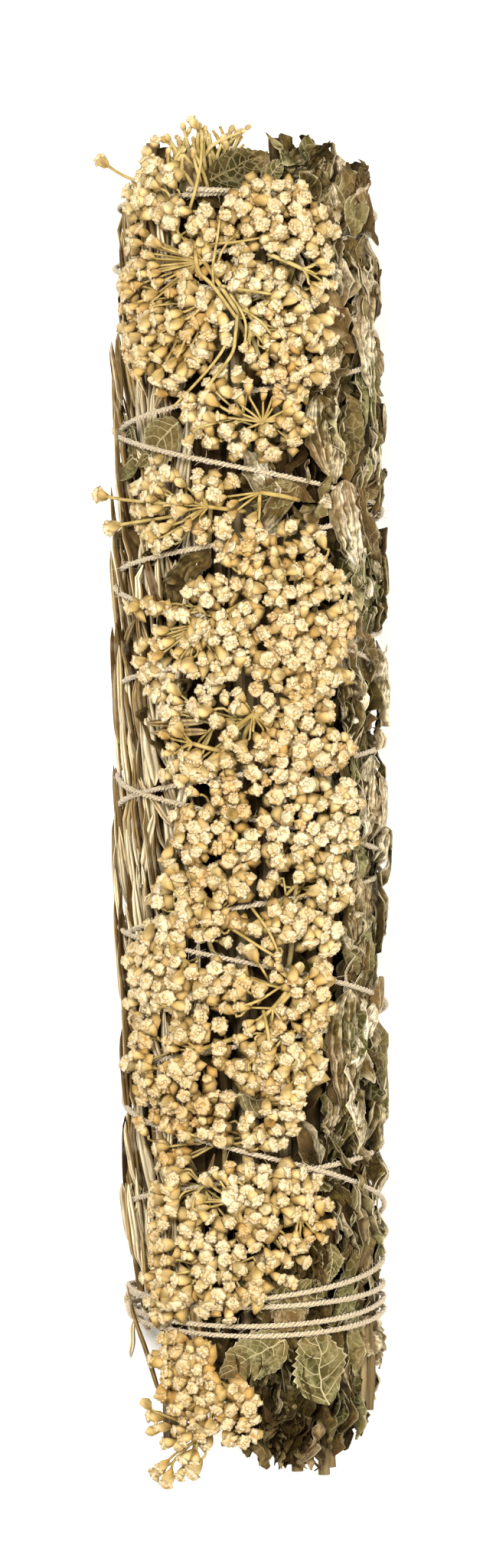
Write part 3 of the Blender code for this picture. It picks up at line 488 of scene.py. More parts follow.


# Yarrow florets: look is (tint of the floret, zone, height in the floret, shade value: painted shade where a turned
# body dips in, random on the lumps)

STALK_ZONE, CUP_ZONE, PETAL_ZONE, DISC_ZONE = 0.0, 0.34, 0.67, 1.0
CUP_PROFILE = [(0.0, 0.2), (0.4, 0.46), (1.1, 0.84), (2.0, 1.0), (2.6, 0.7)]
CROWN_PROFILE = [(2.2, 0.0), (2.34, 0.66), (2.56, 1.02), (2.84, 1.06), (3.1, 0.78), (3.24, 0.38), (3.28, 0.0)]
CROWN_RADIUS = 1.26
GOLDEN_ANGLE = math.pi * (3 - math.sqrt(5))
SMOOTH = 180
OCTAHEDRON = np.array([(1, 0, 0), (0, 1, 0), (-1, 0, 0), (0, -1, 0), (0, 0, 1), (0, 0, -1)], float)
OCTAHEDRON_FACES = np.array([
    (0, 1, 4), (1, 2, 4), (2, 3, 4), (3, 0, 4), (1, 0, 5), (2, 1, 5), (3, 2, 5), (0, 3, 5),
])


def lump(heap, middle, size, zone, rng):
    """A small rounded lobe of a floret's crown."""
    spin = rng.uniform(0, TAU)
    cos, sin = math.cos(spin), math.sin(spin)
    points = OCTAHEDRON * size * (1 + rng.normal(0, 0.14, (6, 1)))
    points = points @ np.array([(cos, sin, 0), (-sin, cos, 0), (0, 0, 1)])
    heap.add(points + middle, [OCTAHEDRON_FACES], (0, zone, 1, rng.uniform(0.3, 1)))


def turned_profile(profile, sides, ribs, uneven, rng):
    """Points, faces and painted shade of a closed round body; profile holds its (height, radius) rings and tips. The
    shade is darker where the body dips in, between its ribs and in its hollows.
    """
    profile = np.asarray(profile, float)
    rows = len(profile) - 2
    turn = np.arange(sides) * TAU / sides
    scales = 1 + ribs * np.cos(5 * turn[None, :] + 1.6 * profile[1:-1, :1]) + rng.normal(0, uneven, (rows, sides))
    radius = profile[1:-1, 1:] * scales
    rise = profile[1:-1, :1] + rng.normal(0, uneven, radius.shape)
    body = np.stack([radius * np.cos(turn), radius * np.sin(turn), rise], -1).reshape(-1, 3)
    points = np.concatenate([body, [(0, 0, profile[0, 0])], [(0, 0, profile[-1, 0])]])
    ring = np.arange(sides)
    beyond = (ring + 1) % sides
    last = (rows - 1) * sides
    low_cap = np.stack([np.full(sides, rows * sides), beyond, ring], 1)
    high_cap = np.stack([np.full(sides, rows * sides + 1), last + ring, last + beyond], 1)
    # Painted shade: darker where the radius dips in, in grooves and hollows, lighter where it bulges
    tone_and_hollow_shade = np.concatenate([0.5 + 4 * (scales - 1).ravel(), [0.5, 0.5]])
    return points, [quads(rows, sides, True), low_cap, high_cap], np.clip(tone_and_hollow_shade, 0, 1)


def floret_kind(openness, rng, cup_sides, crown_sides, rim_lumps, top_lumps):
    """Points, faces and looks of one floret standing on the origin; openness 0 is a shut bud, 1 is in flower."""
    heap = Heap()
    profile = [(0.0, 0.0), *CUP_PROFILE, (2.75 + 0.35 * (1 - openness), 0.0)]
    points, faces, tone_and_hollow_shade = turned_profile(profile, cup_sides, 0.09, 0.03, rng)
    look = np.stack([np.zeros(len(points)), np.full(len(points), CUP_ZONE), points[:, 2] / FLORET_HEIGHT, tone_and_hollow_shade], 1)
    heap.add(points, faces, look)
    if openness > 0.2:
        spread = CROWN_RADIUS * (0.45 + 0.55 * openness)
        profile = np.array(CROWN_PROFILE) * (1, spread)
        points, faces, tone_and_hollow_shade = turned_profile(profile, crown_sides, 0.17, 0.13, rng)
        shade = np.full(len(points), PETAL_ZONE)
        heap.add(points, faces, np.stack([0 * shade, shade, 0 * shade + 1, tone_and_hollow_shade], 1))
        for k in range(rim_lumps):
            heading = TAU * (k + rng.uniform(-0.2, 0.2)) / rim_lumps
            middle = (0.84 * spread * math.cos(heading), 0.84 * spread * math.sin(heading), rng.uniform(2.75, 2.95))
            lump(heap, middle, np.array([0.52, 0.5, 0.36]) * rng.uniform(0.85, 1.15), PETAL_ZONE, rng)
        for k in range(top_lumps):
            reach, heading = 0.52 * spread * math.sqrt(k / 3), k * GOLDEN_ANGLE + rng.normal(0, 0.3)
            middle = (reach * math.cos(heading), reach * math.sin(heading), 3.3 - 0.12 * k / 3)
            size = np.array([0.4, 0.37, 0.26]) * rng.uniform(0.8, 1.2)
            lump(heap, middle, size, DISC_ZONE if rng.uniform() < 0.3 else PETAL_ZONE, rng)
    return np.concatenate(heap.points), heap.faces, np.concatenate(heap.looks)


def turned(points, axes, spins, scales, at):
    """Copies of a template, each turned so that +Z points along its axis, spun, scaled and moved."""
    axes = unit(np.asarray(axes, float))
    helper = np.where(np.abs(axes[:, 1:2]) < 0.8, [[0.0, 1.0, 0.0]], [[1.0, 0.0, 0.0]])
    side = unit(np.cross(helper, axes))
    other = np.cross(axes, side)
    cos, sin = np.cos(spins)[:, None], np.sin(spins)[:, None]
    across, along = cos * side + sin * other, cos * other - sin * side
    matrix = np.stack([across, along, axes], 1) * np.asarray(scales)[:, None, None]
    return np.einsum("pk,nkx->npx", points, matrix) + np.asarray(at)[:, None]


OPENNESS = (1.0, 1.0, 0.96, 0.92, 0.86, 0.8, 0.62, 0.3, 0.0)
KINDS = [floret_kind(openness, np.random.default_rng(900 + k), 7, 10, 5, 4) for k, openness in enumerate(OPENNESS)]
LOW_KINDS = [floret_kind(openness, np.random.default_rng(930 + k), 6, 8, 4, 2) for k, openness in enumerate(OPENNESS)]
HEAD_SHARES = (0.13, 0.13, 0.14, 0.13, 0.13, 0.11, 0.1, 0.08, 0.05)
SIDE_SHARES = (0.04, 0.04, 0.06, 0.1, 0.14, 0.18, 0.2, 0.14, 0.1)


def add_copies(heap, template, at, axes, scales, tints, rng):
    """Copies of a template at the points given, each turned along its axis, with its own size and tint."""
    points, faces, look = template
    made = turned(points, axes, rng.uniform(0, TAU, len(at)), scales, at)
    made = made + rng.normal(0, 0.02, made.shape)
    looks = np.repeat(look[None], len(at), 0)
    looks[..., 0] = tints[:, None]
    shift = np.arange(len(at))[:, None, None] * len(points)
    faces = [(group[None] + shift).reshape(-1, group.shape[1]) for group in faces]
    heap.add(made.reshape(-1, 3), faces, looks.reshape(-1, 4))


def add_florets(heap, tops, axes, tint, rng, shares=HEAD_SHARES, templates=KINDS, scale=1.0):
    """Florets whose tops are at the points given, each looking along its axis."""
    count = len(tops)
    kinds = rng.choice(len(templates), count, p=shares)
    scales = scale * rng.uniform(*FLORET_SCALES, count)
    feet = tops - axes * (FLORET_HEIGHT * scales)[:, None]
    tints = np.clip(tint + rng.normal(0, 0.23, count), 0, 1)
    for k, template in enumerate(templates):
        chosen = np.flatnonzero(kinds == k)
        add_copies(heap, template, feet[chosen], axes[chosen], scales[chosen], tints[chosen], rng)
    return feet


def add_stalk(heap, points, start, end, tint, sides=5, count=7):
    """A thin yarrow stalk through a few points, tapering from one radius to another."""
    path = curve(points, count)
    share = np.linspace(0, 1, count)
    look = np.stack([np.full(count, tint), np.full(count, STALK_ZONE), share, np.full(count, 0.5)], 1)
    heap.add(*tube(path, start + (end - start) * share, sides, look))


def umbel(heap, feet, axes, fork, tint, rng):
    """The branches under a set of florets: from the fork to a few lesser forks, and on to each floret's foot."""
    groups = max(2, len(feet) // 6)
    seeds = feet[rng.choice(len(feet), groups, replace=False)]
    nearest = np.argmin(np.linalg.norm(feet[:, None] - seeds[None], axis=2), axis=1)
    for k in range(groups):
        own = np.flatnonzero(nearest == k)
        if len(own) == 0:
            continue
        middle = feet[own].mean(0)
        heading = unit(axes[own].mean(0))
        lesser = fork + (middle - heading * 2.2 - fork) * rng.uniform(0.5, 0.72)
        bow = (fork + lesser) / 2 - heading * rng.uniform(0.2, 0.9)
        add_stalk(heap, [fork, bow, lesser], 0.36, 0.27, tint)
        for floret in own:
            bow = feet[floret] - axes[floret] * rng.uniform(0.9, 1.8)
            add_stalk(heap, [lesser, bow, feet[floret]], 0.2, 0.24, tint, 4, 5)


# Yarrow heads

LOBES = [
    (index, float(u_of_across(across, HEAD_REACH_R)), along, half_width, half_length)
    for index, lobes in enumerate(YARROW_HEADS)
    for across, along, half_width, half_length in lobes
]


# Cut flower stalks at the top end: low and high X, and how far along their ends are
STUBS = (-11.8, -0.8, 105.4, 110.6)
STUB_COUNT = 54
BUD_SCALE = 0.55
STUB_BUDS = 34
BUD_SHARES = (0, 0, 0, 0, 0, 0, 0, 0.3, 0.7)


def top_stubs(heap, tint, rng):
    """Short cut flower stalks that stand up out of the top end, some with a bud."""
    for k in range(STUB_COUNT):
        x, high = rng.uniform(*STUBS[:2]), rng.uniform(*STUBS[2:])
        r, u = rng.uniform(17.5, 21.4), u_of_across(x - table_at(AXIS_X, high), 21.4)
        low, lean = high - rng.uniform(3.5, 6), rng.normal(0, 2.2)
        points = np.array([place(u, low, r - 1.2), place(u + lean * 0.3, (low + high) / 2, r), place(u + lean, high, r)])
        add_stalk(heap, points, 0.4, 0.26, tint, 5, 6)
        if k < STUB_BUDS:
            heading = unit(points[-1] - points[-2])
            add_florets(heap, points[-1:] + heading, heading[None], tint, rng, BUD_SHARES, LOW_KINDS, BUD_SCALE)


def in_photo_plane(u, s):
    """X of the points (u, s) at the height of the flowers."""
    return place(u, s, HEAD_REACH_R)[..., 0]


def from_segment(x, s, segment):
    start, end = np.array(segment[:2]), np.array(segment[2:])
    run = end - start
    share = np.clip(((x - start[0]) * run[0] + (s - start[1]) * run[1]) / (run @ run), 0, 1)
    return np.hypot(x - start[0] - share * run[0], s - start[1] - share * run[1])


def kept_clear(x, s):
    """Where no flower stands by itself: over a leaf, over the twine that shows, and inside each fan."""
    clear = np.zeros(np.shape(x), bool)
    for middle_x, middle_s, half_width, half_length in CLEARINGS:
        clear |= np.hypot((x - middle_x) / half_width, (s - middle_s) / half_length) < 1
    for segment in TWINE_SHOWN:
        clear |= from_segment(x, s, segment) < 1.7
    for fork_x, fork_s, first, last, reach, _, foot_x, foot_s in FANS:
        apart = np.hypot(x - fork_x, s - fork_s)
        heading = np.degrees(np.arctan2(s - fork_s, x - fork_x))
        off = np.abs((heading - (first + last) / 2 + 180) % 360 - 180) - (last - first) / 2
        clear |= ((apart < reach + 0.7) & (off < 8)) | (apart < 1.8)
        clear |= from_segment(x, s, (fork_x, fork_s, foot_x, foot_s)) < 1.3
    for radius, points in LONG_STALKS:
        for start, end in zip(points, points[1:]):
            clear |= from_segment(x, s, (*start, *end)) < radius + LONG_STALK_ROOM
    return clear


def long_stalk(heap, radius, points):
    """A stalk that lies over the florets, its ends tucked in between them."""
    x, s = np.array(points).T
    share = np.linspace(0, 1, len(x))
    u = u_of_across(x - table_at(AXIS_X, s), LONG_STALK_R)
    rise = LONG_STALK_R - LONG_STALK_SINK * np.abs(2 * share - 1) ** 3
    add_stalk(heap, place(u, s, rise), radius, 0.85 * radius, LONG_STALK_TINT, 6, 4 * len(x))


def add_fill(heap, u, s, top_r, tint, rng):
    """Buds and half-open florets that lean any way between the florets at (u, s), lower than them."""
    step = rng.uniform(0, TAU, len(u))
    fill_u, fill_s = u + FILL_SPACING * np.cos(step), s + FILL_SPACING * np.sin(step)
    x = in_photo_plane(fill_u, fill_s)
    free = ~kept_clear(x, fill_s) & (rng.uniform(size=len(u)) < FILL_SHARE)
    fill_u, fill_s = fill_u[free], fill_s[free]
    tops = place(fill_u, fill_s, top_r[free] - FILL_DEPTH + rng.normal(0, 0.3, len(fill_u)))
    axes = unit(outward(fill_u) + rng.normal(0, 0.8, tops.shape))
    # Their tint is 0.15 lower, so they show browner: painted shade, as they sit low between the florets
    add_florets(heap, tops, axes, tint - 0.15, rng, SIDE_SHARES, LOW_KINDS)


def add_bed(heap, u, s, top_r, tint, rng):
    """Low golden lumps, two under each floret, which close the gaps between them."""
    points, faces, tone_and_hollow_shade = turned_profile(BED_PROFILE, BED_SIDES, 0.0, 0.22, rng)
    look = np.stack([0 * tone_and_hollow_shade, 0 * tone_and_hollow_shade + CUP_ZONE, 0 * tone_and_hollow_shade + BED_HEIGHT, tone_and_hollow_shade], 1)
    template = points, faces[1:], look
    turn = rng.uniform(0, TAU, len(u))
    for side in (-1, 1):
        lump_u, lump_s = u + side * BED_STEP * np.cos(turn), s + side * BED_STEP * np.sin(turn)
        at = place(lump_u, lump_s, np.minimum(top_r, HEAD_REACH_R + 1) - BED_DEPTH)
        # Their tint is 0.2 lower, so they show browner: painted shade, deep in the gaps
        tints = np.clip(tint - 0.2 + rng.normal(0, 0.15, len(u)), 0, 1)
        add_copies(heap, template, at, outward(lump_u), rng.uniform(0.8, 1.2, len(u)), tints, rng)


def flower_places():
    """(u, s) of every floret that stands by itself, none nearer to another than the spacing."""
    rng = np.random.default_rng(31)
    u, s = rng.uniform(-26, 29, DARTS), rng.uniform(-104, 108, DARTS)
    x = in_photo_plane(u, s)
    rows = np.array(FLOWER_EDGES)
    ragged = 0.7 * waves(np.stack([u, s], -1), 6.0, 41)
    inside = x > np.interp(s, rows[:, 0], rows[:, 1]) + ragged
    inside &= x < np.interp(s, rows[:, 0], rows[:, 2]) - ragged
    inside &= ~kept_clear(x, s)
    kept = []
    for point in np.stack([u, s], -1)[inside]:
        if not kept or np.min(np.hypot(*(np.array(kept) - point).T)) > FLORET_SPACING:
            kept.append(point)
    return np.array(kept).T


def nearest_head(u, s):
    """For each point, the head whose ground it is on and how far out it is, 1 being the CAD head's rim."""
    powers = np.array([(u - lobe[1]) ** 2 + (s - lobe[2]) ** 2 - lobe[3] * lobe[4] for lobe in LOBES])
    rims = np.array([np.hypot((u - lobe[1]) / lobe[3], (s - lobe[2]) / lobe[4]) for lobe in LOBES])
    best = np.argmin(powers, axis=0)
    return np.array([lobe[0] for lobe in LOBES])[best], rims[best, np.arange(len(u))]


PLACES_U, PLACES_S = flower_places()
PLACES_HEAD, PLACES_RIM = nearest_head(PLACES_U, PLACES_S)


def fan(heap, row, rng):
    """A spray on its side: florets round an arc, their stalks meeting at the fork."""
    fork_x, fork_s, first, last, reach, count, foot_x, foot_s = row
    fork_u, foot_u = u_of_across(fork_x, 24.0), u_of_across(foot_x, 24.0)
    fork = place(fork_u, fork_s, 23.7)
    angle = np.radians(np.linspace(first, last, count) + rng.normal(0, 8, count))
    share = np.where(np.arange(count) % 2 == 0, rng.uniform(0.9, 1.12, count), rng.uniform(0.7, 0.94, count))
    u, s = fork_u + reach * share * np.cos(angle), fork_s + reach * share * np.sin(angle)
    tops = place(u, s, 24.6 + 0.9 * (1 - share) + rng.normal(0, 0.35, count))
    axes = unit(unit(tops - fork) + 0.12 * outward(u) + rng.normal(0, 0.14, tops.shape))
    tint = rng.uniform(0.3, 0.6)
    feet = add_florets(heap, tops, axes, tint, rng, SIDE_SHARES, KINDS, FAN_SCALE)
    for floret in range(count):
        pulled = (fork + feet[floret]) / 2 + outward(u[floret]) * rng.uniform(0.1, 0.5)
        add_stalk(heap, [fork, pulled, feet[floret] - axes[floret] * 0.5, feet[floret]], 0.22, 0.18, tint, 5, 8)
    foot = place(foot_u, foot_s, 21.8)
    middle = place((fork_u + foot_u) / 2, (fork_s + foot_s) / 2, 23.4)
    add_stalk(heap, [foot, middle, fork], 0.42, 0.36, tint, 6, 8)


def yarrow_head(index, material):
    """One head of florets on its forked stalk, in place of the CAD head."""
    rng = np.random.default_rng(300 + index)
    heap = Heap()
    own = PLACES_HEAD == index
    u, s, rim = PLACES_U[own], PLACES_S[own], PLACES_RIM[own]
    lobe = next(lobe for lobe in LOBES if lobe[0] == index)
    across, along, under = HEAD_FORKS.get(index + 1, FORK_UNDER)
    relief = 0.55 * waves(np.stack([u, s], -1), 5.5, 70 + index) + rng.normal(0, 0.38, len(u))
    dome = np.where(rim < 1, HEAD_DOME * (1 - rim**2), -1.9 * np.minimum(1, (rim - 1) / 0.35))
    top_r = np.minimum(HEAD_REACH_R + 0.2 + dome + relief, TALLEST_R)
    tops = place(u, s, top_r)
    fork = place(lobe[1] + across, lobe[2] + along, HEAD_REACH_R + HEAD_DOME - under)
    spread = unit(tops - fork)
    up = outward(u)
    axes = unit(spread + 0.2 * up + rng.normal(0, 0.38, spread.shape))
    tint = 0.58 + 0.16 * math.sin(2.4 * index + 0.7)
    feet = add_florets(heap, tops, axes, tint, rng)
    add_fill(heap, u, s, top_r, tint, rng)
    inner = rim < BED_RIM
    add_bed(heap, u[inner], s[inner], top_r[inner], tint, rng)
    umbel(heap, feet, axes, fork, tint, rng)
    stalk_foot = place(np.clip(lobe[1], -8, 8), lobe[2] - 9, 17.0)
    add_stalk(heap, [stalk_foot, (stalk_foot + fork) / 2 + [0, -1.5, -0.5], fork], 0.5, 0.4, LONG_STALK_TINT, 6)
    for row in FANS:
        if nearest_head(np.array([u_of_across(row[0], HEAD_REACH_R)]), np.array([row[1]]))[0][0] == index:
            fan(heap, row, rng)
    for radius, points in LONG_STALKS:
        first_u = u_of_across(points[0][0], HEAD_REACH_R)
        if nearest_head(np.array([first_u]), np.array([points[0][1]]))[0][0] == index:
            long_stalk(heap, radius, points)
    if index == 0:
        top_stubs(heap, tint, rng)
    for route in STRAY_FLORETS.get(index + 1, []):
        points = np.array([place(*point) for point in route])
        heading = unit(points[-1] - points[-2])
        add_florets(heap, points[-1:] + heading * 0.6, heading[None], tint, rng)
        add_stalk(heap, [*points[:-1], points[-1] - heading * 2.4], 0.32, 0.26, tint, 5, 9)
    name = f"yarrow_head_{index + 1:02d}"
    heap.piece("flower_" + name[-2:], material, "yarrow_flower", [name], SMOOTH)


def loose_spray(material):
    """The open spray at the lower end: florets that face away from the fork, on thin stalks."""
    rng = np.random.default_rng(420)
    heap = Heap()
    fork = place(*LOOSE_STALK[-1])
    add_stalk(heap, [place(*point) for point in LOOSE_STALK], 0.6, 0.42, 0.4, 7)
    x, s = np.array(LOOSE_FLORETS).T
    u = u_of_across(x - table_at(AXIS_X, s), LOOSE_FLORET_R)
    tops = place(u, s, LOOSE_FLORET_R + rng.normal(0, 0.5, len(u)))
    axes = unit(unit(tops - fork) + 0.35 * outward(u) + rng.normal(0, 0.25, tops.shape))
    feet = add_florets(heap, tops, axes, 0.5, rng, SIDE_SHARES)
    umbel(heap, feet, axes, fork, 0.4, rng)
    heap.piece("flower_spray", material, "yarrow_flower", ["yarrow_spray_loose"], SMOOTH)


# Mint: look is (tint of the leaf, along the leaf, across the leaf, which side shows)

def leaf_half_width(share):
    bulge = np.sin(np.pi * np.minimum(1.0, share * 1.04) ** 0.72)
    return 0.10 + 0.90 * np.maximum(bulge, 0.0) ** 0.8


OVER_TWINE_R = 23.1
PLEATS = 5.5


def leaf_points(u, s, r, length, width, heading, shape, seed, rows, columns, held):
    """A grid of (u, s, r) over a toothed leaf that lies on the bundle from (u, s).

    shape is how crumpled it is, how far its edges curl up, how steeply it leans to one side, and how deep the
    pleats are that run along it. A leaf that is held lies under the twine. The last value given back is 0 in the
    leaf's valleys and 1 on its ridges, and paints shade into the valleys and highlight onto the ridges.
    """
    crumple, curl, lean, pleat = shape
    rng = np.random.default_rng(seed)
    along, across = np.linspace(0, 1, rows)[:, None], np.linspace(-1, 1, columns)[None, :]
    tooth = 1 - 0.17 * ((along * LEAF_TEETH + 0.3 * rng.uniform()) % 1.0) * np.abs(across) ** 6
    side = across * tooth * width / 2 * leaf_half_width(along)
    forward = length * along + 0.6 * side**2 / width * rng.uniform(0, 1)
    flat = np.stack(np.broadcast_arrays(side, forward), -1)
    folds = np.abs(waves(flat, 6.5, seed)) + 0.5 * np.abs(waves(flat, 3.0, seed + 1))
    ribs = 0.12 * np.cos(TAU * (along * 6.5 - 0.9 * np.abs(across)))
    pleats = np.cos(across * math.pi * PLEATS + 0.8 * waves(flat, 9.0, seed + 4)) * np.sin(math.pi * along) ** 0.6
    arch = rng.uniform(-0.6, 0.8) * crumple * along**2
    height = crumple * (0.9 * folds - 0.7) + curl * across**2 * leaf_half_width(along) + lean * side + arch + ribs
    height = height + 0.75 * pleat * pleats - 0.3 * (1 - pleat) * np.exp(-((side / 0.9) ** 2))
    side = side * (1 - 0.12 * abs(curl) * across**2) / math.hypot(1, lean) + 0.35 * crumple * waves(flat, 4.0, seed + 2)
    forward = forward + 0.35 * crumple * waves(flat, 4.0, seed + 3)
    turn = math.radians(heading)
    at_u = u + side * math.cos(turn) + forward * math.sin(turn)
    at_s = s + forward * math.cos(turn) - side * math.sin(turn)
    top = ceiling(at_u, at_s) if held else np.full(at_u.shape, OVER_TWINE_R)
    at_r = r + height
    height = height - lean * side * 0.7
    # Painted shade and highlight: 0 in the leaf's valleys, 1 on its ridges
    valley_shade_ridge_light = np.clip(0.5 + 0.55 * (height - height.mean()) / (height.std() + 0.05), 0, 1)
    return at_u, at_s, top - np.logaddexp(0, (top - at_r) / 0.25) * 0.25, valley_shade_ridge_light


def sampled(grid, along, across):
    """Points of a leaf's grid at shares along (0 to 1) and across (-1 to 1)."""
    rows, columns = grid.shape[:2]
    row, column = np.clip(along, 0, 1) * (rows - 1), (np.clip(across, -1, 1) + 1) / 2 * (columns - 1)
    i, j = np.minimum(row.astype(int), rows - 2), np.minimum(column.astype(int), columns - 2)
    di, dj = (row - i)[:, None], (column - j)[:, None]
    low = grid[i, j] * (1 - dj) + grid[i, j + 1] * dj
    high = grid[i + 1, j] * (1 - dj) + grid[i + 1, j + 1] * dj
    return low * (1 - di) + high * di


def add_veins(heap, front, tint, rng, pairs, points):
    """The midrib and the side veins, raised on the side of the leaf that shows."""
    def vein(along, across, start, end):
        path = sampled(front, along, across)
        share = np.linspace(0, 1, len(path))
        look = np.stack([np.full(len(path), tint), along, (across + 1) / 2, np.full(len(path), 2.0)], 1)
        heap.add(*tube(path, start + (end - start) * share, 4, look))

    vein(np.linspace(0.0, 0.97, 2 * points), np.zeros(2 * points), 0.17, 0.05)
    for k in range(pairs):
        for side in (-1, 1):
            start = 0.06 + 0.84 / pairs * k + 0.03 * side + rng.uniform(-0.015, 0.015)
            reach = np.linspace(0, 1, points)
            vein(start + 0.2 * reach**1.5, side * 0.96 * reach, 0.09, 0.035)


LEAF_GRIDS = {
    "fine": (LEAF_ROWS, LEAF_COLUMNS, 6, 7), "large": (34, 13, 5, 6), "small": (23, 9, 0, 0), "scrap": (14, 7, 0, 0),
    "pleated": (20, 29, 0, 0),
    "bit": (9, 5, 0, 0),
}


SHORTEST_LEAF = 3.0
FOOT_SLACK = 3.0


def end_limit(u, s):
    """How far along the bundle's end is at the X of (u, s)."""
    x = float(place(u, s, GIRTH_RADIUS)[0])
    return abs(table_at(TOP_END if s > 0 else BOTTOM_END, x))


def end_share(u, s, length, heading):
    """How much of a length that runs from (u, s) stays inside the bundle's ends."""
    if abs(s) > end_limit(u, s) + FOOT_SLACK:
        return 0.0
    tip_u, tip_s = u + length * math.sin(math.radians(heading)), s + length * math.cos(math.radians(heading))
    over = abs(tip_s) - end_limit(tip_u, tip_s)
    return 1.0 if over < 0 else max(0.0, 1 - over / max(abs(tip_s - s), 1e-6))


def mint_leaf(heap, u, s, r, length, width, heading, rng, shape=(0.8, 0.4, 0.0, 0.0), underside=None, grid="fine",
              held=True, light=1.0):
    """One dried mint leaf; its underside, when that shows, is pale with raised veins."""
    rows, columns, pairs, points = LEAF_GRIDS[grid]
    length *= end_share(u, s, length, heading)
    if length < SHORTEST_LEAF:
        return None
    width = min(width, length)
    seed = int(rng.integers(1 << 30))
    at_u, at_s, at_r, valley_shade_ridge_light = leaf_points(u, s, r, length, width, heading, shape, seed, rows, columns, held)
    front, back = place(at_u, at_s, at_r), place(at_u, at_s, at_r - LEAF_SKIN)
    tint = rng.uniform(0, 1)
    if underside is None:
        underside = rng.uniform() < 0.35
    look = np.zeros((rows, columns, 4))
    # Painted shade in the valleys and painted highlight on the ridges, the whole scaled by light
    look[..., 0] = light * (0.4 * tint + 0.6 * valley_shade_ridge_light)
    look[..., 1] = np.linspace(0, 1, rows)[:, None]
    look[..., 2] = np.linspace(0, 1, columns)[None, :]
    look[..., 3] = 1.0 if underside else 0.0
    heap.add(*slab(front, back, look))
    if pairs and underside:
        add_veins(heap, front, light * tint, rng, pairs, points)
    return front


def random_shape(rng, crumple):
    return rng.uniform(0.6, 1.3) * crumple, rng.uniform(-1.0, 3.6), rng.normal(0, 0.5), rng.uniform(0, 1)


def petiole(heap, start, end, tint=0.5):
    middle = (np.asarray(start) + np.asarray(end)) / 2 + [0, 0, 0.3]
    path = curve([start, middle, end], 7)
    heap.add(*tube(path, np.linspace(0.5, 0.36, 7), 6, (tint, 0, 0.5, 2.0)))


def mint_sprig(index, materials):
    """One sprig in place of its CAD node: the stem, its leaves, and smaller crumpled leaves between them."""
    u, r, first, spacing, count = MINT_SPRIGS[index]
    rng = np.random.default_rng(20 + index)
    heap = Heap()
    last = min(BUNDLE_HALF, first + spacing * (count - 1) + 24)
    stem = place(np.full(20, u), np.linspace(first - 7, last, 20), MINT_STEM_R)
    heap.add(*tube(stem, 0.95, 8, (0.3, 0, 0.5, 3.0)))
    for k in range(count):
        along = first + spacing * k
        heading = (-1) ** k * rng.uniform(4, 8)
        length = min(MINT_LEAF_LENGTH, spacing - 1.0) * rng.uniform(0.94, 1.0)
        width = MINT_LEAF_WIDTH * rng.uniform(0.88, 1.0) * (0.7 if index < 2 else 1)
        blade_u = u - length / 2 * math.sin(math.radians(heading))
        shape = (1.4, rng.uniform(-0.3, 1.0), 0.0, 1.0)
        # The big leaves of the first two sprigs lie under the scraps and are darkened to a fifth: painted shade
        light = 0.2 if index < 2 else 1.0
        front = mint_leaf(heap, blade_u, along, r, length, width, heading, rng, shape, grid="large", light=light)
        petiole(heap, place(u, along - 3.4, MINT_STEM_R), front[0, front.shape[1] // 2])
    at = -103.0
    while at < 96:
        length = rng.uniform(9, 19)
        heading = rng.normal(0, 26) + (180 if rng.uniform() < 0.4 else 0)
        start = at + (length if abs((heading + 180) % 360 - 180) > 90 else 0)
        shift = rng.uniform(-4.0, 4.0)
        mint_leaf(heap, u + shift, start, max(r, 18.9) + rng.uniform(0.5, 2.8), length, length * rng.uniform(0.3, 0.5),
                  heading, rng, random_shape(rng, 1.3), grid="small" if index < 2 else "scrap", light=rng.uniform(0.2, 1.4))
        at += rng.uniform(7.0, 11.0)
    heap.piece(f"leaves_sprig_{index + 1}", materials["mint"], "mint_leaf", [f"mint_sprig_{index + 1}"], 60)


def front_leaf(index, name, materials):
    u, s, r, length, width, heading, foot = FRONT_LEAVES[name]
    rng = np.random.default_rng(140 + index)
    heap = Heap()
    dark = name in ("mint_leaf_top", "mint_leaf_middle")
    shape = FRONT_SHAPES.get(name, (0.9, 0.5, 0.0, 0.2))
    light = FRONT_LIGHTS.get(name, 0.62)
    front = mint_leaf(heap, u, s, r, length, width, heading, rng, shape, not dark, light=light)
    petiole(heap, place(*foot), front[0, LEAF_COLUMNS // 2])
    heap.piece("leaf" + name[9:], materials["mint"], "mint_leaf", [name], 60)


# Rosemary: look is (tint of the needle, along it, across it, how rolled its edges are, which paints shade in the
# channel and highlight on the rolled edges)

NEEDLE_OUTLINE = np.array([
    (-0.5, 0.0), (-0.46, 0.24), (-0.26, 0.36), (-0.06, 0.2), (0.06, 0.2), (0.26, 0.36), (0.46, 0.24), (0.5, 0.0), (0.0, -0.2)
])
NEEDLE_POINTS = 9
EDGE_NEEDLES = 16

# Needles that show by themselves: (X, along, how far out) of both ends, and the width
SHOWN_NEEDLES = [
    ((-13.9, 13.2, 22.4), (-4.9, 13.4, 22.4), 1.5), ((-4.7, 11.8, 22.0), (-13.7, 11.6, 22.2), 1.4),
    ((-14.4, 14.0, 21.6), (-13.0, 3.0, 21.6), 2.4), ((-12.2, -97.2, 22.2), (-18.3, -79.1, 23.0), 1.3),
    ((-17.6, -90.8, 22.6), (-17.1, -84.2, 23.0), 1.1),
]


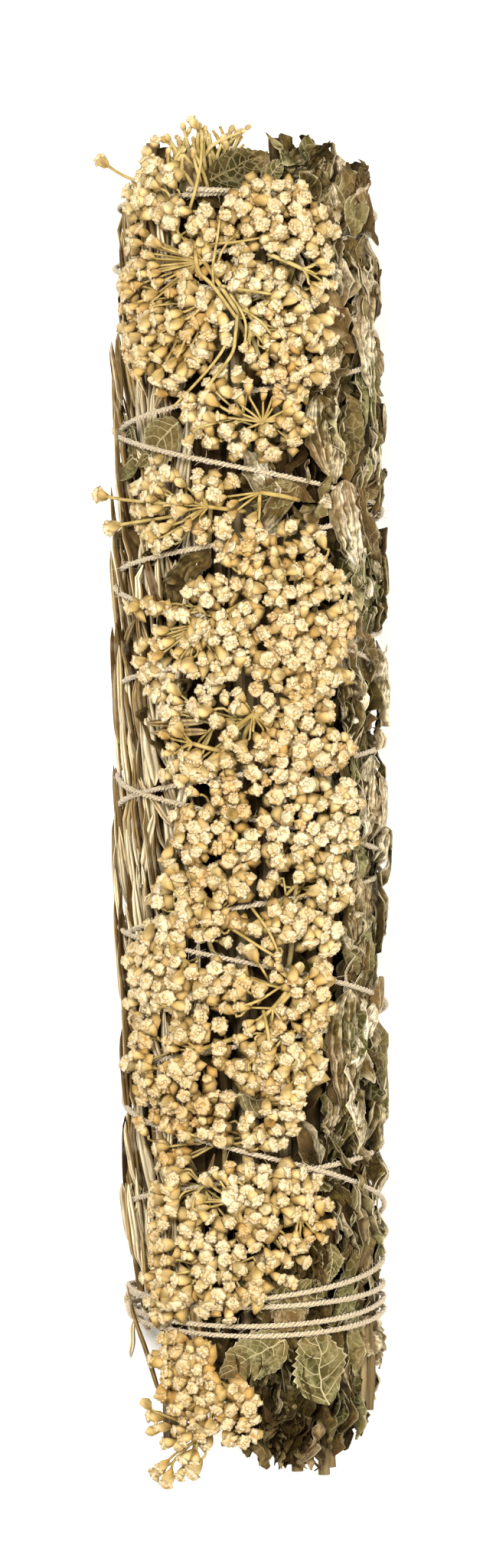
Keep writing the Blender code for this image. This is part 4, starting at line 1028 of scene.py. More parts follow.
def needle(heap, root, tip, width, bow, rng, held=True):
    """One narrow grooved leaf from root to tip, both (u, s, r), bowed sideways and, if held, under the twine."""
    share = np.linspace(0, 1, NEEDLE_POINTS)
    root, tip = np.asarray(root, float), np.asarray(tip, float)
    line = root + (tip - root) * share[:, None]
    line[:, 0] += bow * np.sin(np.pi * share) + 0.2 * np.sin(9 * share + rng.uniform(0, TAU))
    line[:, 2] = root[2] + (tip[2] - root[2]) * share ** 0.6
    if held:
        line[:, 2] = np.minimum(line[:, 2], ceiling(line[:, 0], line[:, 1]) - 0.1)
    path = place(*line.T)
    taper = np.interp(share, [0, 0.08, 0.3, 0.8, 0.94, 1.0], [0.35, 0.75, 1.0, 0.86, 0.5, 0.12])
    sections = NEEDLE_OUTLINE[None] * (width * taper)[:, None, None]
    roll = rng.normal(0, 0.5) + rng.normal(0, 0.4) * share
    cos, sin = np.cos(roll)[:, None], np.sin(roll)[:, None]
    sections = np.stack([
        sections[..., 0] * cos - sections[..., 1] * sin, sections[..., 0] * sin + sections[..., 1] * cos
    ], -1)
    look = np.zeros((NEEDLE_POINTS, 4))
    look[:, 0], look[:, 1] = rng.uniform(0, 1), share
    points, faces, look = swept(path, sections, outward(line[:, 0]), look)
    look[: -2, 2] = np.tile(NEEDLE_OUTLINE[:, 0] + 0.5, NEEDLE_POINTS)
    # How high each point stands in the outline, which the material turns into painted shade and highlight
    look[: -2, 3] = np.tile(NEEDLE_OUTLINE[:, 1] * 2.5, NEEDLE_POINTS)
    heap.add(points, faces, look)


def rosemary_sprig(index, material):
    """A rosemary twig and its needles, in place of the CAD sprig."""
    u = ROSEMARY_SPRIGS[index]
    rng = np.random.default_rng(60 + index)
    heap = Heap()
    stem = place(np.full(24, u), np.linspace(-BUNDLE_HALF + 2, BUNDLE_HALF - 3, 24), ROSEMARY_STEM_R)
    heap.add(*tube(stem, 0.95 + rng.normal(0, 0.05, 24), 8, (0.15, 0.5, 0.5, 0.2)))
    foot = -106.0
    while foot < 88:
        for _ in range(rng.integers(2, 4)):
            length = rng.uniform(11, 25)
            start = foot + rng.uniform(-2.5, 2.5)
            at = u + rng.uniform(-4.2, 4.2)
            lean = rng.normal(0, 2.6)
            deep = rng.uniform(0, 1) ** 1.3
            length *= end_share(at, start, length, 0)
            if length < 8 or start < table_at(BOTTOM_END, float(in_photo_plane(at, start))):
                continue
            over_leaf = abs(at + 19) < 8.5 and start < 65 and start + length > 53
            reach = 0.0 if over_leaf else 1 - deep
            root = (at, start, 16.4 + 1.6 * reach)
            tip = (at + lean, start + length, 18.2 + 3.7 * reach)
            needle(heap, root, tip, rng.uniform(1.2, 2.0), rng.normal(0, 0.8), rng)
        foot += 3.7
    for _ in range(4):
        at, start, turn = u + rng.uniform(-3, 3), rng.uniform(-80, 80), rng.uniform(0.35, 1.2) * rng.choice([-1, 1])
        length = rng.uniform(9, 15)
        tip = (at + length * math.sin(turn), start + length * math.cos(turn), 20.6)
        needle(heap, (at, start, 20.2), tip, rng.uniform(1.2, 1.7), 0.4, rng)
    for _ in range(EDGE_NEEDLES if index else 0):
        at, start, length = rng.uniform(-35, -25), rng.uniform(-84, 88), rng.uniform(9, 18)
        tip = (at + rng.normal(0, 1.5), start + length, rng.uniform(21.4, 22.8))
        needle(heap, (at, start, rng.uniform(19.5, 21.8)), tip, rng.uniform(1.2, 1.7), rng.normal(0, 0.6), rng, False)
    if index == 0:
        for start, end, width in SHOWN_NEEDLES:
            ends = [(float(u_of_across(x - table_at(AXIS_X, s), r)), s, r) for x, s, r in (start, end)]
            needle(heap, *ends, width, 0.3, rng, False)
    heap.piece(f"needles_sprig_{index + 1}", material, "rosemary", [f"rosemary_sprig_{index + 1}"], 40)


# Stems: look is (tint of the stem, along it, round it, cut face or bark)

STEM_SECTORS = {"yarrow_stems": 90.0, "mint_stems": -28.0, "rosemary_stems": -145.0}
STEM_SPACING = 3.1
STEM_REACH = 16.2


def stem(heap, x, z, radius, low, high, rng):
    """One ribbed stem with cut ends, straight along the bundle."""
    sides, rows = 12, 9
    share = np.linspace(0, 1, rows)
    y = low + (high - low) * share
    wobble = 0.25 * np.sin(share * rng.uniform(3, 7) + rng.uniform(0, TAU))
    path = np.stack([x + table_at(AXIS_X, y) + wobble, y, np.full(rows, z + CENTRE_HEIGHT)], 1)
    turn = np.arange(sides) * TAU / sides
    ribs = radius * (1 + 0.06 * np.cos(6 * turn))[:, None] * np.stack([np.cos(turn), np.sin(turn)], -1)
    look = np.zeros((rows, 4))
    look[:, 0], look[:, 1] = rng.uniform(0, 1), share
    points, faces, looks = swept(path, np.broadcast_to(ribs, (rows, sides, 2)), (0, 0, 1), look)
    looks[:-2, 2] = np.tile(np.arange(sides) / sides, rows)
    heap.add(points, faces[:1], looks)
    for end, ahead in ((0, -1), (rows - 1, 1)):
        rim = points[end * sides:(end + 1) * sides]
        inner = (rim - path[end]) * 0.45 + path[end] - [0, 0.25 * ahead * rng.uniform(0, 1), 0]
        middle = path[end] + [0, 0.15 * ahead, 0]
        cap = np.concatenate([rim, inner, middle[None]])
        ring = np.arange(sides)
        beyond = (ring + 1) % sides
        outer = np.stack([ring, beyond, beyond + sides, ring + sides], 1)
        centre = np.stack([ring + sides, beyond + sides, np.full(sides, 2 * sides)], 1)
        if ahead > 0:
            outer, centre = outer[:, ::-1], centre[:, ::-1]
        shade = np.array([0.55] * sides + [1.0] * sides + [0.75])
        look = np.stack([np.full(len(cap), looks[0, 0]), shade, np.zeros(len(cap)), np.ones(len(cap))], 1)
        heap.add(cap, [outer, centre], look)


# Stems that stick out of the ends: (X from the middle line, Z from the middle, radius, low end, high end)
END_STEMS = [
    (-15.2, 8.6, 1.1, 96, 108.4), (-13.2, 9.6, 1.0, 96, 107.6), (5.0, 17.4, 0.8, 98, 108.6), (6.4, 17.0, 0.7, 98, 109.2),
    (6.6, 15.6, 0.9, -109.0, -90), (8.4, 14.6, 0.7, -107.8, -90), (10.6, 12.8, 0.9, -109.8, -90),
    (12.0, 12.3, 0.7, -108.6, -90), (18.4, 9.2, 0.8, -99.4, -84), (17.2, 9.8, 0.6, -98.0, -84),
]


def stem_bunches(material):
    """The stems packed in the middle, in place of the three CAD bunches."""
    rng = np.random.default_rng(11)
    heaps = {name: Heap() for name in STEM_SECTORS}
    reach = np.arange(-7, 8)
    for i in reach:
        for j in reach:
            x, z = STEM_SPACING * (i + j / 2), STEM_SPACING * j * math.sqrt(3) / 2 + 0.9
            if math.hypot(x, z) > STEM_REACH:
                continue
            angle = math.degrees(math.atan2(z, x))
            turn = {name: abs((angle - middle + 180) % 360 - 180) for name, middle in STEM_SECTORS.items()}
            name = min(turn, key=turn.get)
            low = table_at(BOTTOM_END, x) + 2.2 + 6 * rng.uniform(0, 1) ** 0.6
            high = table_at(TOP_END, x) - 1.6 - 6 * rng.uniform(0, 1) ** 0.6
            x, z = x + rng.normal(0, 0.25), z + rng.normal(0, 0.25)
            stem(heaps[name], x, z, rng.uniform(0.9, 1.62), low, high, rng)
    for end_stem in END_STEMS:
        stem(heaps["yarrow_stems"], *end_stem, rng)
    for name, heap in heaps.items():
        heap.piece(name[:-6] + "_stalks", material, "woody_stem", [name], 40)


# Loose bits: crumpled leaf scraps that fill the dark gaps, all round and at both ends; the deeper ones get painted
# shade

def scraps(heap, zone, count, r_span, rng, width=(0.3, 0.5), grid="scrap", held=True, lengths=(6, 13),
           light=(0.4, 1.2)):
    """Crumpled, curled shards of leaf over a zone of (low X, high X, low end, high end)."""
    for _ in range(count):
        length = rng.uniform(*lengths)
        heading = rng.normal(0, 28) + 180 * rng.integers(2)
        s = rng.uniform(*zone[2:])
        x = rng.uniform(*zone[:2]) - table_at(AXIS_X, s)
        u = float(u_of_across(np.clip(x / GIRTH_RADIUS, -0.999, 0.999), 1.0))
        shape = (rng.uniform(0.9, 1.7), rng.uniform(-1.5, 3.4), rng.normal(0, 0.8), rng.uniform(0, 1))
        mint_leaf(heap, u, s, rng.uniform(*r_span), length, length * rng.uniform(*width), heading, rng, shape,
                  rng.uniform() < 0.35, grid, held, rng.uniform(*light))


def litter(materials):
    rng = np.random.default_rng(77)
    # Scraps deep in the gaps take the mint colour darkened and browned: painted shade
    dark = Heap()
    scraps(dark, (-15, 19, -100, 100), 72, (16.6, 19.6), rng, (0.4, 0.7), "bit")
    scraps(dark, (-2, 17, -106, -62), 80, (17.2, 20.0), rng, (0.3, 0.6))
    scraps(dark, (9, 21.5, -60, 106), 90, (18.6, 21.0), rng, (0.3, 0.6), "bit")
    scraps(dark, (9, 19.5, 92, 105), 30, (20.0, 22.0), rng, (0.3, 0.6), "scrap", False, (4, 9))
    scraps(dark, (0, 12, -107, -94), 50, (18.0, 20.0), rng, (0.3, 0.6), "bit", False, (4, 9))
    dark.piece("leaf_litter_painted_shade", materials["litter"], "mint_leaf", (), 60)
    light = Heap()
    scraps(light, (9, 20.5, 80, 102), 20, (19.4, 22.2), rng)
    scraps(light, (9, 19.5, 92, 105), 34, (20.6, 23.0), rng, (0.4, 0.8), "scrap", False, (4, 9), (0.0, 1.1))
    scraps(light, (0, 12, -107, -95), 34, (18.6, 20.6), rng, (0.3, 0.6), "bit", False, (4, 9), (0.1, 0.8))
    scraps(light, (15, 22.0, -98, 86), 30, (20.2, 22.4), rng, (0.2, 0.4), lengths=(9, 18))
    scraps(light, (19, 23, -78, 100), 40, (20.2, 21.6), rng, (0.35, 0.6), "scrap", True, (8, 14), (0.0, 1.0))
    scraps(light, (5, 13, 48, 54), 8, (19.6, 21.4), rng)
    scraps(light, (17, 21.8, -68, 98), 50, (21.2, 22.3), rng, (0.25, 0.45), held=False, lengths=(6, 13))
    scraps(light, (10, 21.8, -72, 92), 70, (21.0, 22.7), rng, (0.3, 0.6), "bit", False, (4, 9), (0.05, 1.1))
    scraps(light, (14, 22.0, -106, -92), 30, (16.5, 20.5), rng, (0.25, 0.4), lengths=(5, 10), light=(0.0, 0.6))
    light.piece("leaf_crumbs", materials["mint"], "mint_leaf", (), 60)


PLEATED_SHAPE = (0.5, -0.6, 0.0, 0.45)
PLEATED_LIGHT = 0.82


def shown_leaves(materials):
    rng = np.random.default_rng(78)
    heap = Heap()
    for x, s, length, width, heading, underside, crumple, light in SHOWN_LEAVES:
        u = u_of_across(x - table_at(AXIS_X, s), 21.0)
        shape = (0.5 + 0.8 * crumple, 0.5, 0.0, crumple)
        mint_leaf(heap, u, s, 21.6, length, width, heading, rng, shape, underside, "large", light=light)
    for x, s, length, width, heading in PLEATED_LEAVES:
        u = u_of_across(x - table_at(AXIS_X, s), 21.0)
        mint_leaf(heap, u, s, 22.4, length, width, heading, rng, PLEATED_SHAPE, False, "pleated", False,
                  PLEATED_LIGHT)
    heap.piece("leaves_shown", materials["mint"], "mint_leaf", (), 60)


def end_leaves(materials):
    """Crumpled leaves that stick out round the stems at both ends."""
    rng = np.random.default_rng(79)
    heap = Heap()
    for k in range(110):
        end = 1 if k % 2 else -1
        length = rng.uniform(6, 10)
        u = rng.uniform(-16 if end > 0 else 0, 44)
        mint_leaf(heap, u, end * (rng.uniform(101, 109) - length), rng.uniform(5, 18.6), length,
                  length * rng.uniform(0.3, 0.5), (0 if end > 0 else 180) + rng.normal(0, 20), rng,
                  (rng.uniform(1.0, 1.8), rng.uniform(-1, 2.5), rng.normal(0, 0.7), 0.5), rng.uniform() < 0.3, "scrap")
    # The end leaves take the darkened mint colour too: painted shade, deep among the stems
    heap.piece("leaves_ends", materials["litter"], "mint_leaf", (), 60)


# Twine: look is (tint of the strand, round the strand's plies: 0 in the grooves between them for their painted shade,
# along, fibre)

PLY_RADIUS = 0.27
PLY_OFFSET = 0.24
TWIST_LENGTH = 2.6
TWINE_STEP = 0.6


def twine_route(table, other, first, last, lift):
    """Closely spaced (u, s, r) along one layer of the winding, humped where it crosses the other layer."""
    count = int((last - first) * 2 * HALF_GIRTH / TWINE_STEP)
    turn = np.linspace(first, last, count)
    u = turn * 2 * HALF_GIRTH
    s = wind(table, turn)
    _, _, angle = girth_angle(u)
    upper = (1 + np.cos(angle)) / 2
    crossing = np.exp(-(strand_distance(u, s, other) / CROSSING_REACH) ** 2)
    if lift:
        r = TWINE_R + (lift + CROSSING_LIFT * crossing) * upper
    else:
        r = TWINE_R - CROSSING_LIFT * crossing * (1 - upper)
    return u, s, r


def ply_outline():
    """The outline of three twisted plies side by side, as (across, up) points."""
    turn = np.radians(np.array([-60, -22, 22]))
    reach = PLY_OFFSET * np.cos(turn) + np.sqrt(PLY_RADIUS**2 - (PLY_OFFSET * np.sin(turn)) ** 2)
    turn = np.concatenate([turn + TAU * k / 3 for k in range(3)])
    reach = np.tile(reach, 3)
    return np.stack([reach * np.cos(turn), reach * np.sin(turn)], -1)


def add_rope(heap, path, up, phase, rng):
    """Three twisted plies along a path, and loose fibres that stand off them."""
    run = np.concatenate([[0], np.cumsum(np.linalg.norm(np.diff(path, axis=0), axis=1))])
    spin = phase + TAU * run / TWIST_LENGTH
    outline = ply_outline()
    thick = 1 + 0.05 * np.sin(run / 7.0) + 0.04 * np.sin(run / 2.3 + 1.0)
    cos, sin = (np.cos(spin) * thick)[:, None], (np.sin(spin) * thick)[:, None]
    sections = np.stack([outline[:, 0] * cos - outline[:, 1] * sin, outline[:, 0] * sin + outline[:, 1] * cos], -1)
    look = np.zeros((len(path), 4))
    look[:, 0], look[:, 2] = rng.uniform(0.3, 0.7), run / 100
    points, faces, looks = swept(path, sections, up, look)
    # 0 where two plies meet, 1 on their crests: painted shade in the grooves
    looks[:-2, 1] = np.tile(np.tile([0.0, 1.0, 1.0], 3), len(path))
    heap.add(points, faces, looks)
    for at in rng.integers(2, len(path) - 3, int(run[-1] * 0.8)):
        ahead = unit(path[at + 1] - path[at])
        side = unit(np.cross(ahead, up[at]))
        round_it = rng.uniform(0, TAU)
        out = math.cos(round_it) * side + math.sin(round_it) * up[at]
        length = rng.uniform(0.5, 1.9)
        start = path[at] + out * 0.45
        drift = unit(out * rng.uniform(0.2, 0.9) + ahead * rng.normal(0, 0.9) + rng.normal(0, 0.3, 3))
        hair = [start, start + drift * length * 0.5, start + drift * length + rng.normal(0, 0.25, 3)]
        heap.add(*tube(hair, [0.035, 0.03, 0.016], 3, (0.5, 1.0, 0.5, 1.0)))


def twine(material):
    """The cotton twine wound up the bundle and back down over itself, with its knot at the side."""
    rng = np.random.default_rng(5)
    heap = Heap()
    layers = [
        twine_route(WIND_UP, WIND_DOWN, KNOT_TURN, len(WIND_UP) - 1, 0.0),
        twine_route(WIND_DOWN, WIND_UP, -0.07, len(WIND_DOWN) - 1 + KNOT_TURN, SECOND_LAYER_LIFT),
    ]
    for phase, (u, s, r) in enumerate(layers):
        add_rope(heap, place(u, s, r), outward(u), phase, rng)
    u, s, r = (values[-1] for values in layers[1])
    for heading, rise in ((0.9, 1.5), (-0.8, 1.0), (2.2, 1.2)):
        reach = np.linspace(-2.8, 2.8, 18)
        knot_u, knot_s = u + reach * math.cos(heading), s + reach * math.sin(heading)
        add_rope(heap, place(knot_u, knot_s, r + rise * (1 - (reach / 2.8) ** 2)), outward(knot_u), heading, rng)
    for heading, length in ((2.3, 9.0), (-2.5, 8.0)):
        reach = np.linspace(0, length, 20)
        tail_u = u + reach * math.cos(heading) + 0.4 * np.sin(reach)
        tail_s = s + reach * math.sin(heading)
        tail_r = r + np.interp(reach / length, [0, 0.3, 0.75, 1], [0.4, 1.4, 1.6, 1.3])
        add_rope(heap, place(tail_u, tail_s, tail_r), outward(tail_u), heading, rng)
    heap.piece("cotton_twine", material, "cotton_twine", ["twine"], 70)


# Materials

LIT_SHARE = 0.64


def linear(red, green, blue):
    """The colour of a surface that shows as this, 0 to 255, under the full light of the scene."""
    return tuple(LIT_SHARE * (value / 255) ** 2.2 for value in (red, green, blue)) + (1.0,)


class Graph:
    """A material and a short way to add nodes to it."""

    def __init__(self, name, roughness, bump_scale, bump_strength, bump_depth=0.0001):
        self.material = bpy.data.materials.new(name)
        self.material.use_nodes = True
        self.tree = self.material.node_tree
        self.shader = self.tree.nodes["Principled BSDF"]
        self.shader.inputs["Specular IOR Level"].default_value = 0.08
        self.look = self.add("ShaderNodeAttribute", attribute_name="look")
        self.parts = self.add("ShaderNodeSeparateColor", {"Color": self.look.outputs["Color"]}).outputs
        self.space = self.add("ShaderNodeTexCoord").outputs["Object"]
        grain = self.noise(bump_scale, 4)
        bump = self.add("ShaderNodeBump", {"Strength": bump_strength, "Distance": bump_depth, "Height": grain})
        self.link(bump.outputs["Normal"], self.shader.inputs["Normal"])
        sheen = self.ramp(grain, (0.3, roughness + 0.1), (0.7, roughness - 0.1))
        self.link(sheen, self.shader.inputs["Roughness"])

    def add(self, kind, inputs=None, **settings):
        node = self.tree.nodes.new(kind)
        for key, value in settings.items():
            setattr(node, key, value)
        for key, value in (inputs or {}).items():
            if isinstance(value, bpy.types.NodeSocket):
                self.link(value, node.inputs[key])
            else:
                node.inputs[key].default_value = value
        return node

    def link(self, source, target):
        self.tree.links.new(source, target)

    def noise(self, scale, detail=3, stretch=None):
        space = self.space
        if stretch:
            space = self.add("ShaderNodeMapping", {"Vector": space, "Scale": stretch}).outputs["Vector"]
        return self.add("ShaderNodeTexNoise", {"Vector": space, "Scale": scale, "Detail": detail}).outputs["Fac"]

    def streaks(self, *stretch):
        """Noise laid along a leaf, stretched by its length and its width."""
        space = self.add("ShaderNodeMapping", {"Vector": self.look.outputs["Color"], "Scale": (3.0, *stretch)})
        return self.add("ShaderNodeTexNoise", {"Vector": space.outputs["Vector"], "Scale": 1.0, "Detail": 3}).outputs["Fac"]

    def ramp(self, value, *stops):
        """Colours along a value; each stop is (place, colour or number)."""
        node = self.add("ShaderNodeValToRGB", {"Fac": value})
        points = node.color_ramp.elements
        while len(points) < len(stops):
            points.new(1.0)
        for point, (at, colour) in zip(points, stops):
            point.position = at
            point.color = colour if isinstance(colour, tuple) else (colour, colour, colour, 1)
        return node.outputs["Color"]

    def mix(self, share, first, second, kind="MIX"):
        node = self.add("ShaderNodeMix", data_type="RGBA", blend_type=kind)
        for socket, value in ((node.inputs[0], share), (node.inputs[6], first), (node.inputs[7], second)):
            if isinstance(value, bpy.types.NodeSocket):
                self.link(value, socket)
            else:
                socket.default_value = value
        return node.outputs[2]

    def maths(self, operation, first, second=0.0):
        return self.add("ShaderNodeMath", {0: first, 1: second}, operation=operation).outputs[0]

    def finish(self, colour):
        self.link(colour, self.shader.inputs["Base Color"])
        return self.material


def yarrow_material():
    graph = Graph("dried_yarrow", 0.85, 3000, 0.6, 0.00015)
    tint, zone, height = graph.parts["Red"], graph.parts["Green"], graph.parts["Blue"]
    tone_and_hollow_shade = graph.look.outputs["Alpha"]
    stalk = graph.ramp(graph.noise(500, 3), (0.3, linear(164, 140, 76)), (0.7, linear(228, 204, 138)))
    cup = graph.ramp(height, (0.0, linear(172, 138, 74)), (0.5, linear(226, 195, 130)), (0.85, linear(244, 222, 168)))
    # The cup darkens in the grooves between its ribs: partly brown stripes on its bracts, partly painted shade
    streaks = graph.ramp(tone_and_hollow_shade, (0.1, 0.55), (0.75, 1.06))
    cup = graph.mix(1.0, cup, streaks, "MULTIPLY")
    # Crown colours: painted shade where the crown dips in, random variation on the lumps
    petal = graph.ramp(tone_and_hollow_shade, (0.0, linear(190, 152, 88)), (0.4, linear(231, 208, 160)), (1.0, linear(240, 226, 194)))
    disc = graph.ramp(tone_and_hollow_shade, (0.0, linear(180, 138, 70)), (0.4, linear(220, 190, 124)), (1.0, linear(242, 222, 172)))
    colour = graph.mix(graph.ramp(zone, (0.16, 0.0), (0.18, 1.0)), stalk, cup)
    colour = graph.mix(graph.ramp(zone, (0.49, 0.0), (0.51, 1.0)), colour, petal)
    colour = graph.mix(graph.ramp(zone, (0.82, 0.0), (0.84, 1.0)), colour, disc)
    # Browner where the tint is low: random browning of each floret, and painted shade on the low fill florets and bed
    # lumps
    browning_and_low_shade = graph.ramp(tint, (0.0, 0.7), (0.25, 0.25), (0.55, 0.0))
    colour = graph.mix(browning_and_low_shade, colour, graph.mix(1.0, colour, (0.82, 0.62, 0.34, 1), "MULTIPLY"))
    patches = graph.ramp(graph.noise(55, 2), (0.36, 0.55), (0.6, 0.0))
    colour = graph.mix(patches, colour, graph.mix(1.0, colour, (0.84, 0.74, 0.56, 1), "MULTIPLY"))
    specks = graph.ramp(graph.noise(4200, 2), (0.31, 1.0), (0.37, 0.0))
    colour = graph.mix(graph.maths("MULTIPLY", specks, 0.4), colour, linear(150, 108, 44))
    return graph.finish(colour)


# Full colour for mint leaves, and a copy darkened and browned for the deep scraps: painted shade
MINT_LIGHT = (1.0, 1.0, 1.0, 1)
LITTER_PAINTED_SHADE = (0.2, 0.16, 0.08, 1)


def mint_material(name, light):
    graph = Graph(name, 0.8, 1400, 0.7, 0.0003)
    tint, along, across = graph.parts["Red"], graph.parts["Green"], graph.parts["Blue"]
    side = graph.look.outputs["Alpha"]
    blotch = graph.noise(90, 3)
    upper = graph.ramp(
        tint, (0.0, linear(30, 21, 4)), (0.3, linear(90, 75, 36)), (0.52, linear(184, 167, 128)), (0.84, linear(248, 233, 198))
    )
    upper = graph.mix(1.0, upper, graph.ramp(graph.streaks(2.5, 26), (0.38, 0.36), (0.6, 1.28)), "MULTIPLY")
    upper = graph.mix(1.0, upper, graph.ramp(graph.noise(1100, 4), (0.38, 0.48), (0.62, 1.28)), "MULTIPLY")
    under = graph.ramp(
        tint, (0.0, linear(48, 42, 12)), (0.35, linear(102, 96, 54)), (0.7, linear(150, 142, 98)), (1.0, linear(200, 188, 142))
    )
    cells = graph.add("ShaderNodeTexVoronoi", {"Vector": graph.space, "Scale": 620}, feature="DISTANCE_TO_EDGE")
    net = graph.ramp(cells.outputs["Distance"], (0.0, 1.0), (0.09, 0.0))
    under = graph.mix(graph.maths("MULTIPLY", net, 0.3), under, linear(214, 198, 150))
    under = graph.mix(1.0, under, graph.ramp(graph.noise(1500, 3), (0.36, 0.7), (0.6, 1.05)), "MULTIPLY")
    colour = graph.mix(graph.ramp(side, (0.4, 0.0), (0.6, 1.0)), upper, under)
    colour = graph.mix(graph.ramp(blotch, (0.42, 0.0), (0.66, 0.45)), colour, linear(150, 116, 74))
    # Paler rim along the leaf's edges, brighter on ridges: partly the leaf's own paler rim, partly painted highlight
    edge = graph.ramp(across, (0.0, 1.0), (0.06, 0.0), (0.94, 0.0), (1.0, 1.0))
    colour = graph.mix(graph.mix(1.0, edge, tint, "MULTIPLY"), colour, linear(236, 220, 178))
    vein = graph.maths("GREATER_THAN", side, 1.5)
    pale = graph.ramp(tint, (0.0, linear(150, 132, 86)), (0.6, linear(222, 206, 158)))
    colour = graph.mix(vein, colour, pale)
    wood = graph.maths("GREATER_THAN", side, 2.5)
    colour = graph.mix(wood, colour, linear(110, 76, 52))
    # Painted shade: the colour is scaled by light, which is below 1 for the darkened copy
    colour = graph.mix(1.0, colour, light, "MULTIPLY")
    return graph.finish(colour)


def rosemary_material():
    graph = Graph("dried_rosemary", 0.75, 1800, 0.6, 0.00015)
    tint, across, height = graph.parts["Red"], graph.parts["Blue"], graph.look.outputs["Alpha"]
    base = graph.ramp(
        tint, (0.0, linear(96, 72, 42)), (0.3, linear(176, 150, 100)), (0.65, linear(250, 236, 198)), (1.0, linear(214, 198, 164))
    )
    streak = graph.ramp(graph.noise(1500, 3, (1.0, 0.1, 1.0)), (0.35, 0.62), (0.62, 1.15))
    colour = graph.mix(1.0, base, streak, "MULTIPLY")
    # Painted shade in the channel and under the needle, painted highlight on its rolled edges
    groove_shade_and_edge_highlight = graph.ramp(height, (0.45, (0.3, 0.22, 0.12, 1)), (0.85, 1.45))
    colour = graph.mix(1.0, colour, groove_shade_and_edge_highlight, "MULTIPLY")
    bloom = graph.ramp(graph.noise(240, 3), (0.5, 0.0), (0.75, 0.5))
    colour = graph.mix(bloom, colour, linear(206, 192, 160))
    return graph.finish(colour)


def stem_material():
    graph = Graph("woody_stem", 0.8, 1500, 0.6, 0.0002)
    tint, along, cut = graph.parts["Red"], graph.parts["Green"], graph.look.outputs["Alpha"]
    bark = graph.ramp(tint, (0.0, linear(74, 58, 34)), (0.5, linear(112, 92, 60)), (1.0, linear(176, 154, 112)))
    streak = graph.ramp(graph.noise(1500, 3, (1.0, 0.05, 1.0)), (0.35, 0.55), (0.65, 1.1))
    bark = graph.mix(1.0, bark, streak, "MULTIPLY")
    pith = graph.ramp(along, (0.5, linear(120, 84, 54)), (0.8, linear(206, 176, 122)), (1.0, linear(236, 214, 168)))
    return graph.finish(graph.mix(cut, bark, pith))


def twine_material():
    graph = Graph("cotton_twine", 0.95, 4200, 0.6, 0.0001)
    ply_groove_shade, fibre = graph.parts["Green"], graph.look.outputs["Alpha"]
    # Darker in the grooves between the plies: painted shade
    colour = graph.ramp(ply_groove_shade, (0.0, linear(170, 140, 98)), (0.6, linear(226, 202, 160)), (1.0, linear(244, 224, 186)))
    streak = graph.ramp(graph.noise(2600, 3), (0.3, 0.72), (0.65, 1.08))
    colour = graph.mix(1.0, colour, streak, "MULTIPLY")
    colour = graph.mix(fibre, colour, linear(240, 222, 192))
    graph.shader.inputs["Sheen Weight"].default_value = 0.35
    return graph.finish(colour)


# Floor, lights and camera

CAMERA_LENS = 200.0
SENSOR = 36.0
PHOTO_HEIGHT_PX = 2048
PX_PER_MM = 8.0
MIDDLE_X_PX = 310.0
MIDDLE_Y_PX = 1050.0
PHOTO_WIDTH_PX = 631
FOCUS_HEIGHT = 36.0


def stage():
    bpy.ops.mesh.primitive_plane_add(size=4, location=(0, 0, 0))
    floor = bpy.context.object
    floor.name = "floor"
    material = bpy.data.materials.new("white_floor")
    material.use_nodes = True
    shader = material.node_tree.nodes["Principled BSDF"]
    shader.inputs["Base Color"].default_value = (0.92, 0.92, 0.91, 1)
    shader.inputs["Roughness"].default_value = 0.9
    floor.data.materials.append(material)


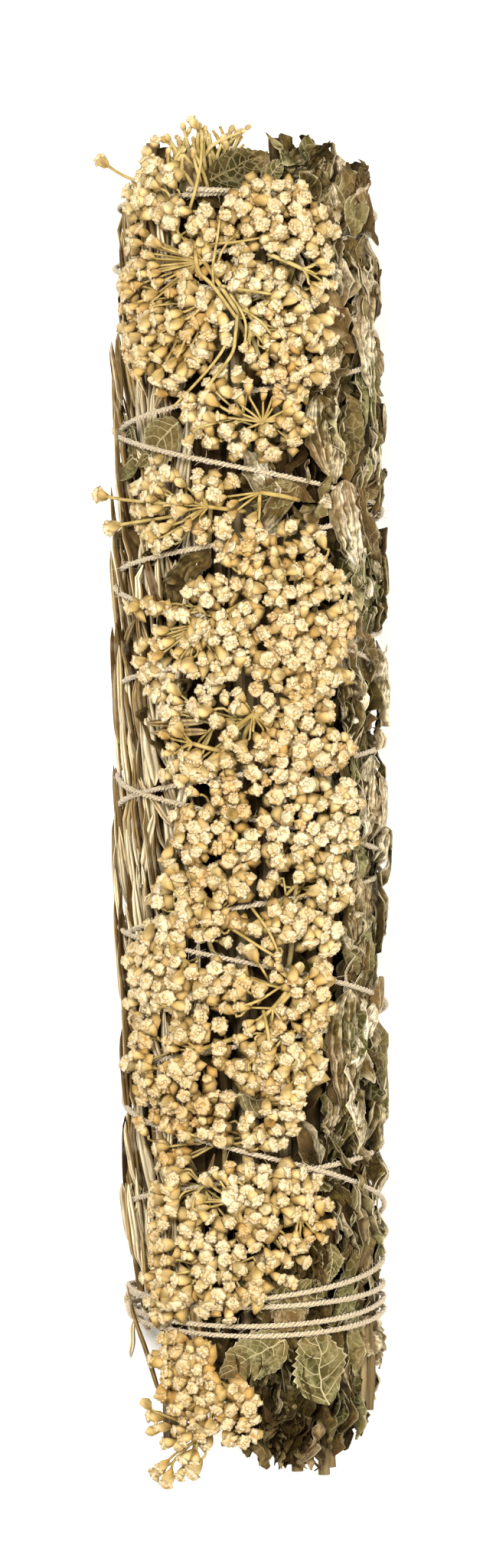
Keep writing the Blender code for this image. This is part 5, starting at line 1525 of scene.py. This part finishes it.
def area_light(name, place_m, aim_m, size, power, colour=(1, 1, 1)):
    data = bpy.data.lights.new(name, "AREA")
    data.shape, data.size, data.energy, data.color = "DISK", size, power, colour
    made = bpy.data.objects.new(name, data)
    made.location = place_m
    direction = np.array(aim_m, float) - np.array(place_m, float)
    from mathutils import Vector
    made.rotation_mode = "QUATERNION"
    made.rotation_quaternion = Vector(direction).to_track_quat("-Z", "Y")
    bpy.context.scene.collection.objects.link(made)


def lights():
    area_light("key", (-0.22, 0.34, 1.25), (0, 0, 0.02), 0.4, 21.5)
    area_light("fill", (0.4, -0.3, 1.1), (0, 0, 0.02), 0.6, 13.5)
    world = bpy.data.worlds.new("studio")
    world.use_nodes = True
    world.node_tree.nodes["Background"].inputs["Color"].default_value = (1, 0.9, 0.72, 1)
    world.node_tree.nodes["Background"].inputs["Strength"].default_value = 0.6
    bpy.context.scene.world = world
    bpy.context.scene.view_settings.view_transform = "Standard"


def camera():
    """Looks straight down, with the photograph's frame."""
    data = bpy.data.cameras.new("camera")
    data.lens, data.sensor_width = CAMERA_LENS, SENSOR
    data.clip_start, data.clip_end = 0.01, 10
    frame_height = PHOTO_HEIGHT_PX / PX_PER_MM * MM
    distance = frame_height * CAMERA_LENS / SENSOR
    made = bpy.data.objects.new("camera", data)
    made.location = (
        (PHOTO_WIDTH_PX / 2 - MIDDLE_X_PX) / PX_PER_MM * MM,
        (MIDDLE_Y_PX - PHOTO_HEIGHT_PX / 2) / PX_PER_MM * MM,
        FOCUS_HEIGHT * MM + distance,
    )
    bpy.context.scene.collection.objects.link(made)
    bpy.context.scene.camera = made


def main():
    materials = {
        "yarrow": yarrow_material(), "mint": mint_material("dried_mint", MINT_LIGHT), "litter": mint_material("leaf_litter_painted_shade", LITTER_PAINTED_SHADE),
        "rosemary": rosemary_material(), "stem": stem_material(), "twine": twine_material(),
    }
    for index in range(len(YARROW_HEADS)):
        yarrow_head(index, materials["yarrow"])
    loose_spray(materials["yarrow"])
    for index in range(len(MINT_SPRIGS)):
        mint_sprig(index, materials)
    for index, name in enumerate(FRONT_LEAVES):
        front_leaf(index, name, materials)
    for index in range(len(ROSEMARY_SPRIGS)):
        rosemary_sprig(index, materials["rosemary"])
    stem_bunches(materials["stem"])
    litter(materials)
    shown_leaves(materials)
    end_leaves(materials)
    twine(materials["twine"])
    stage()
    lights()
    camera()


main()
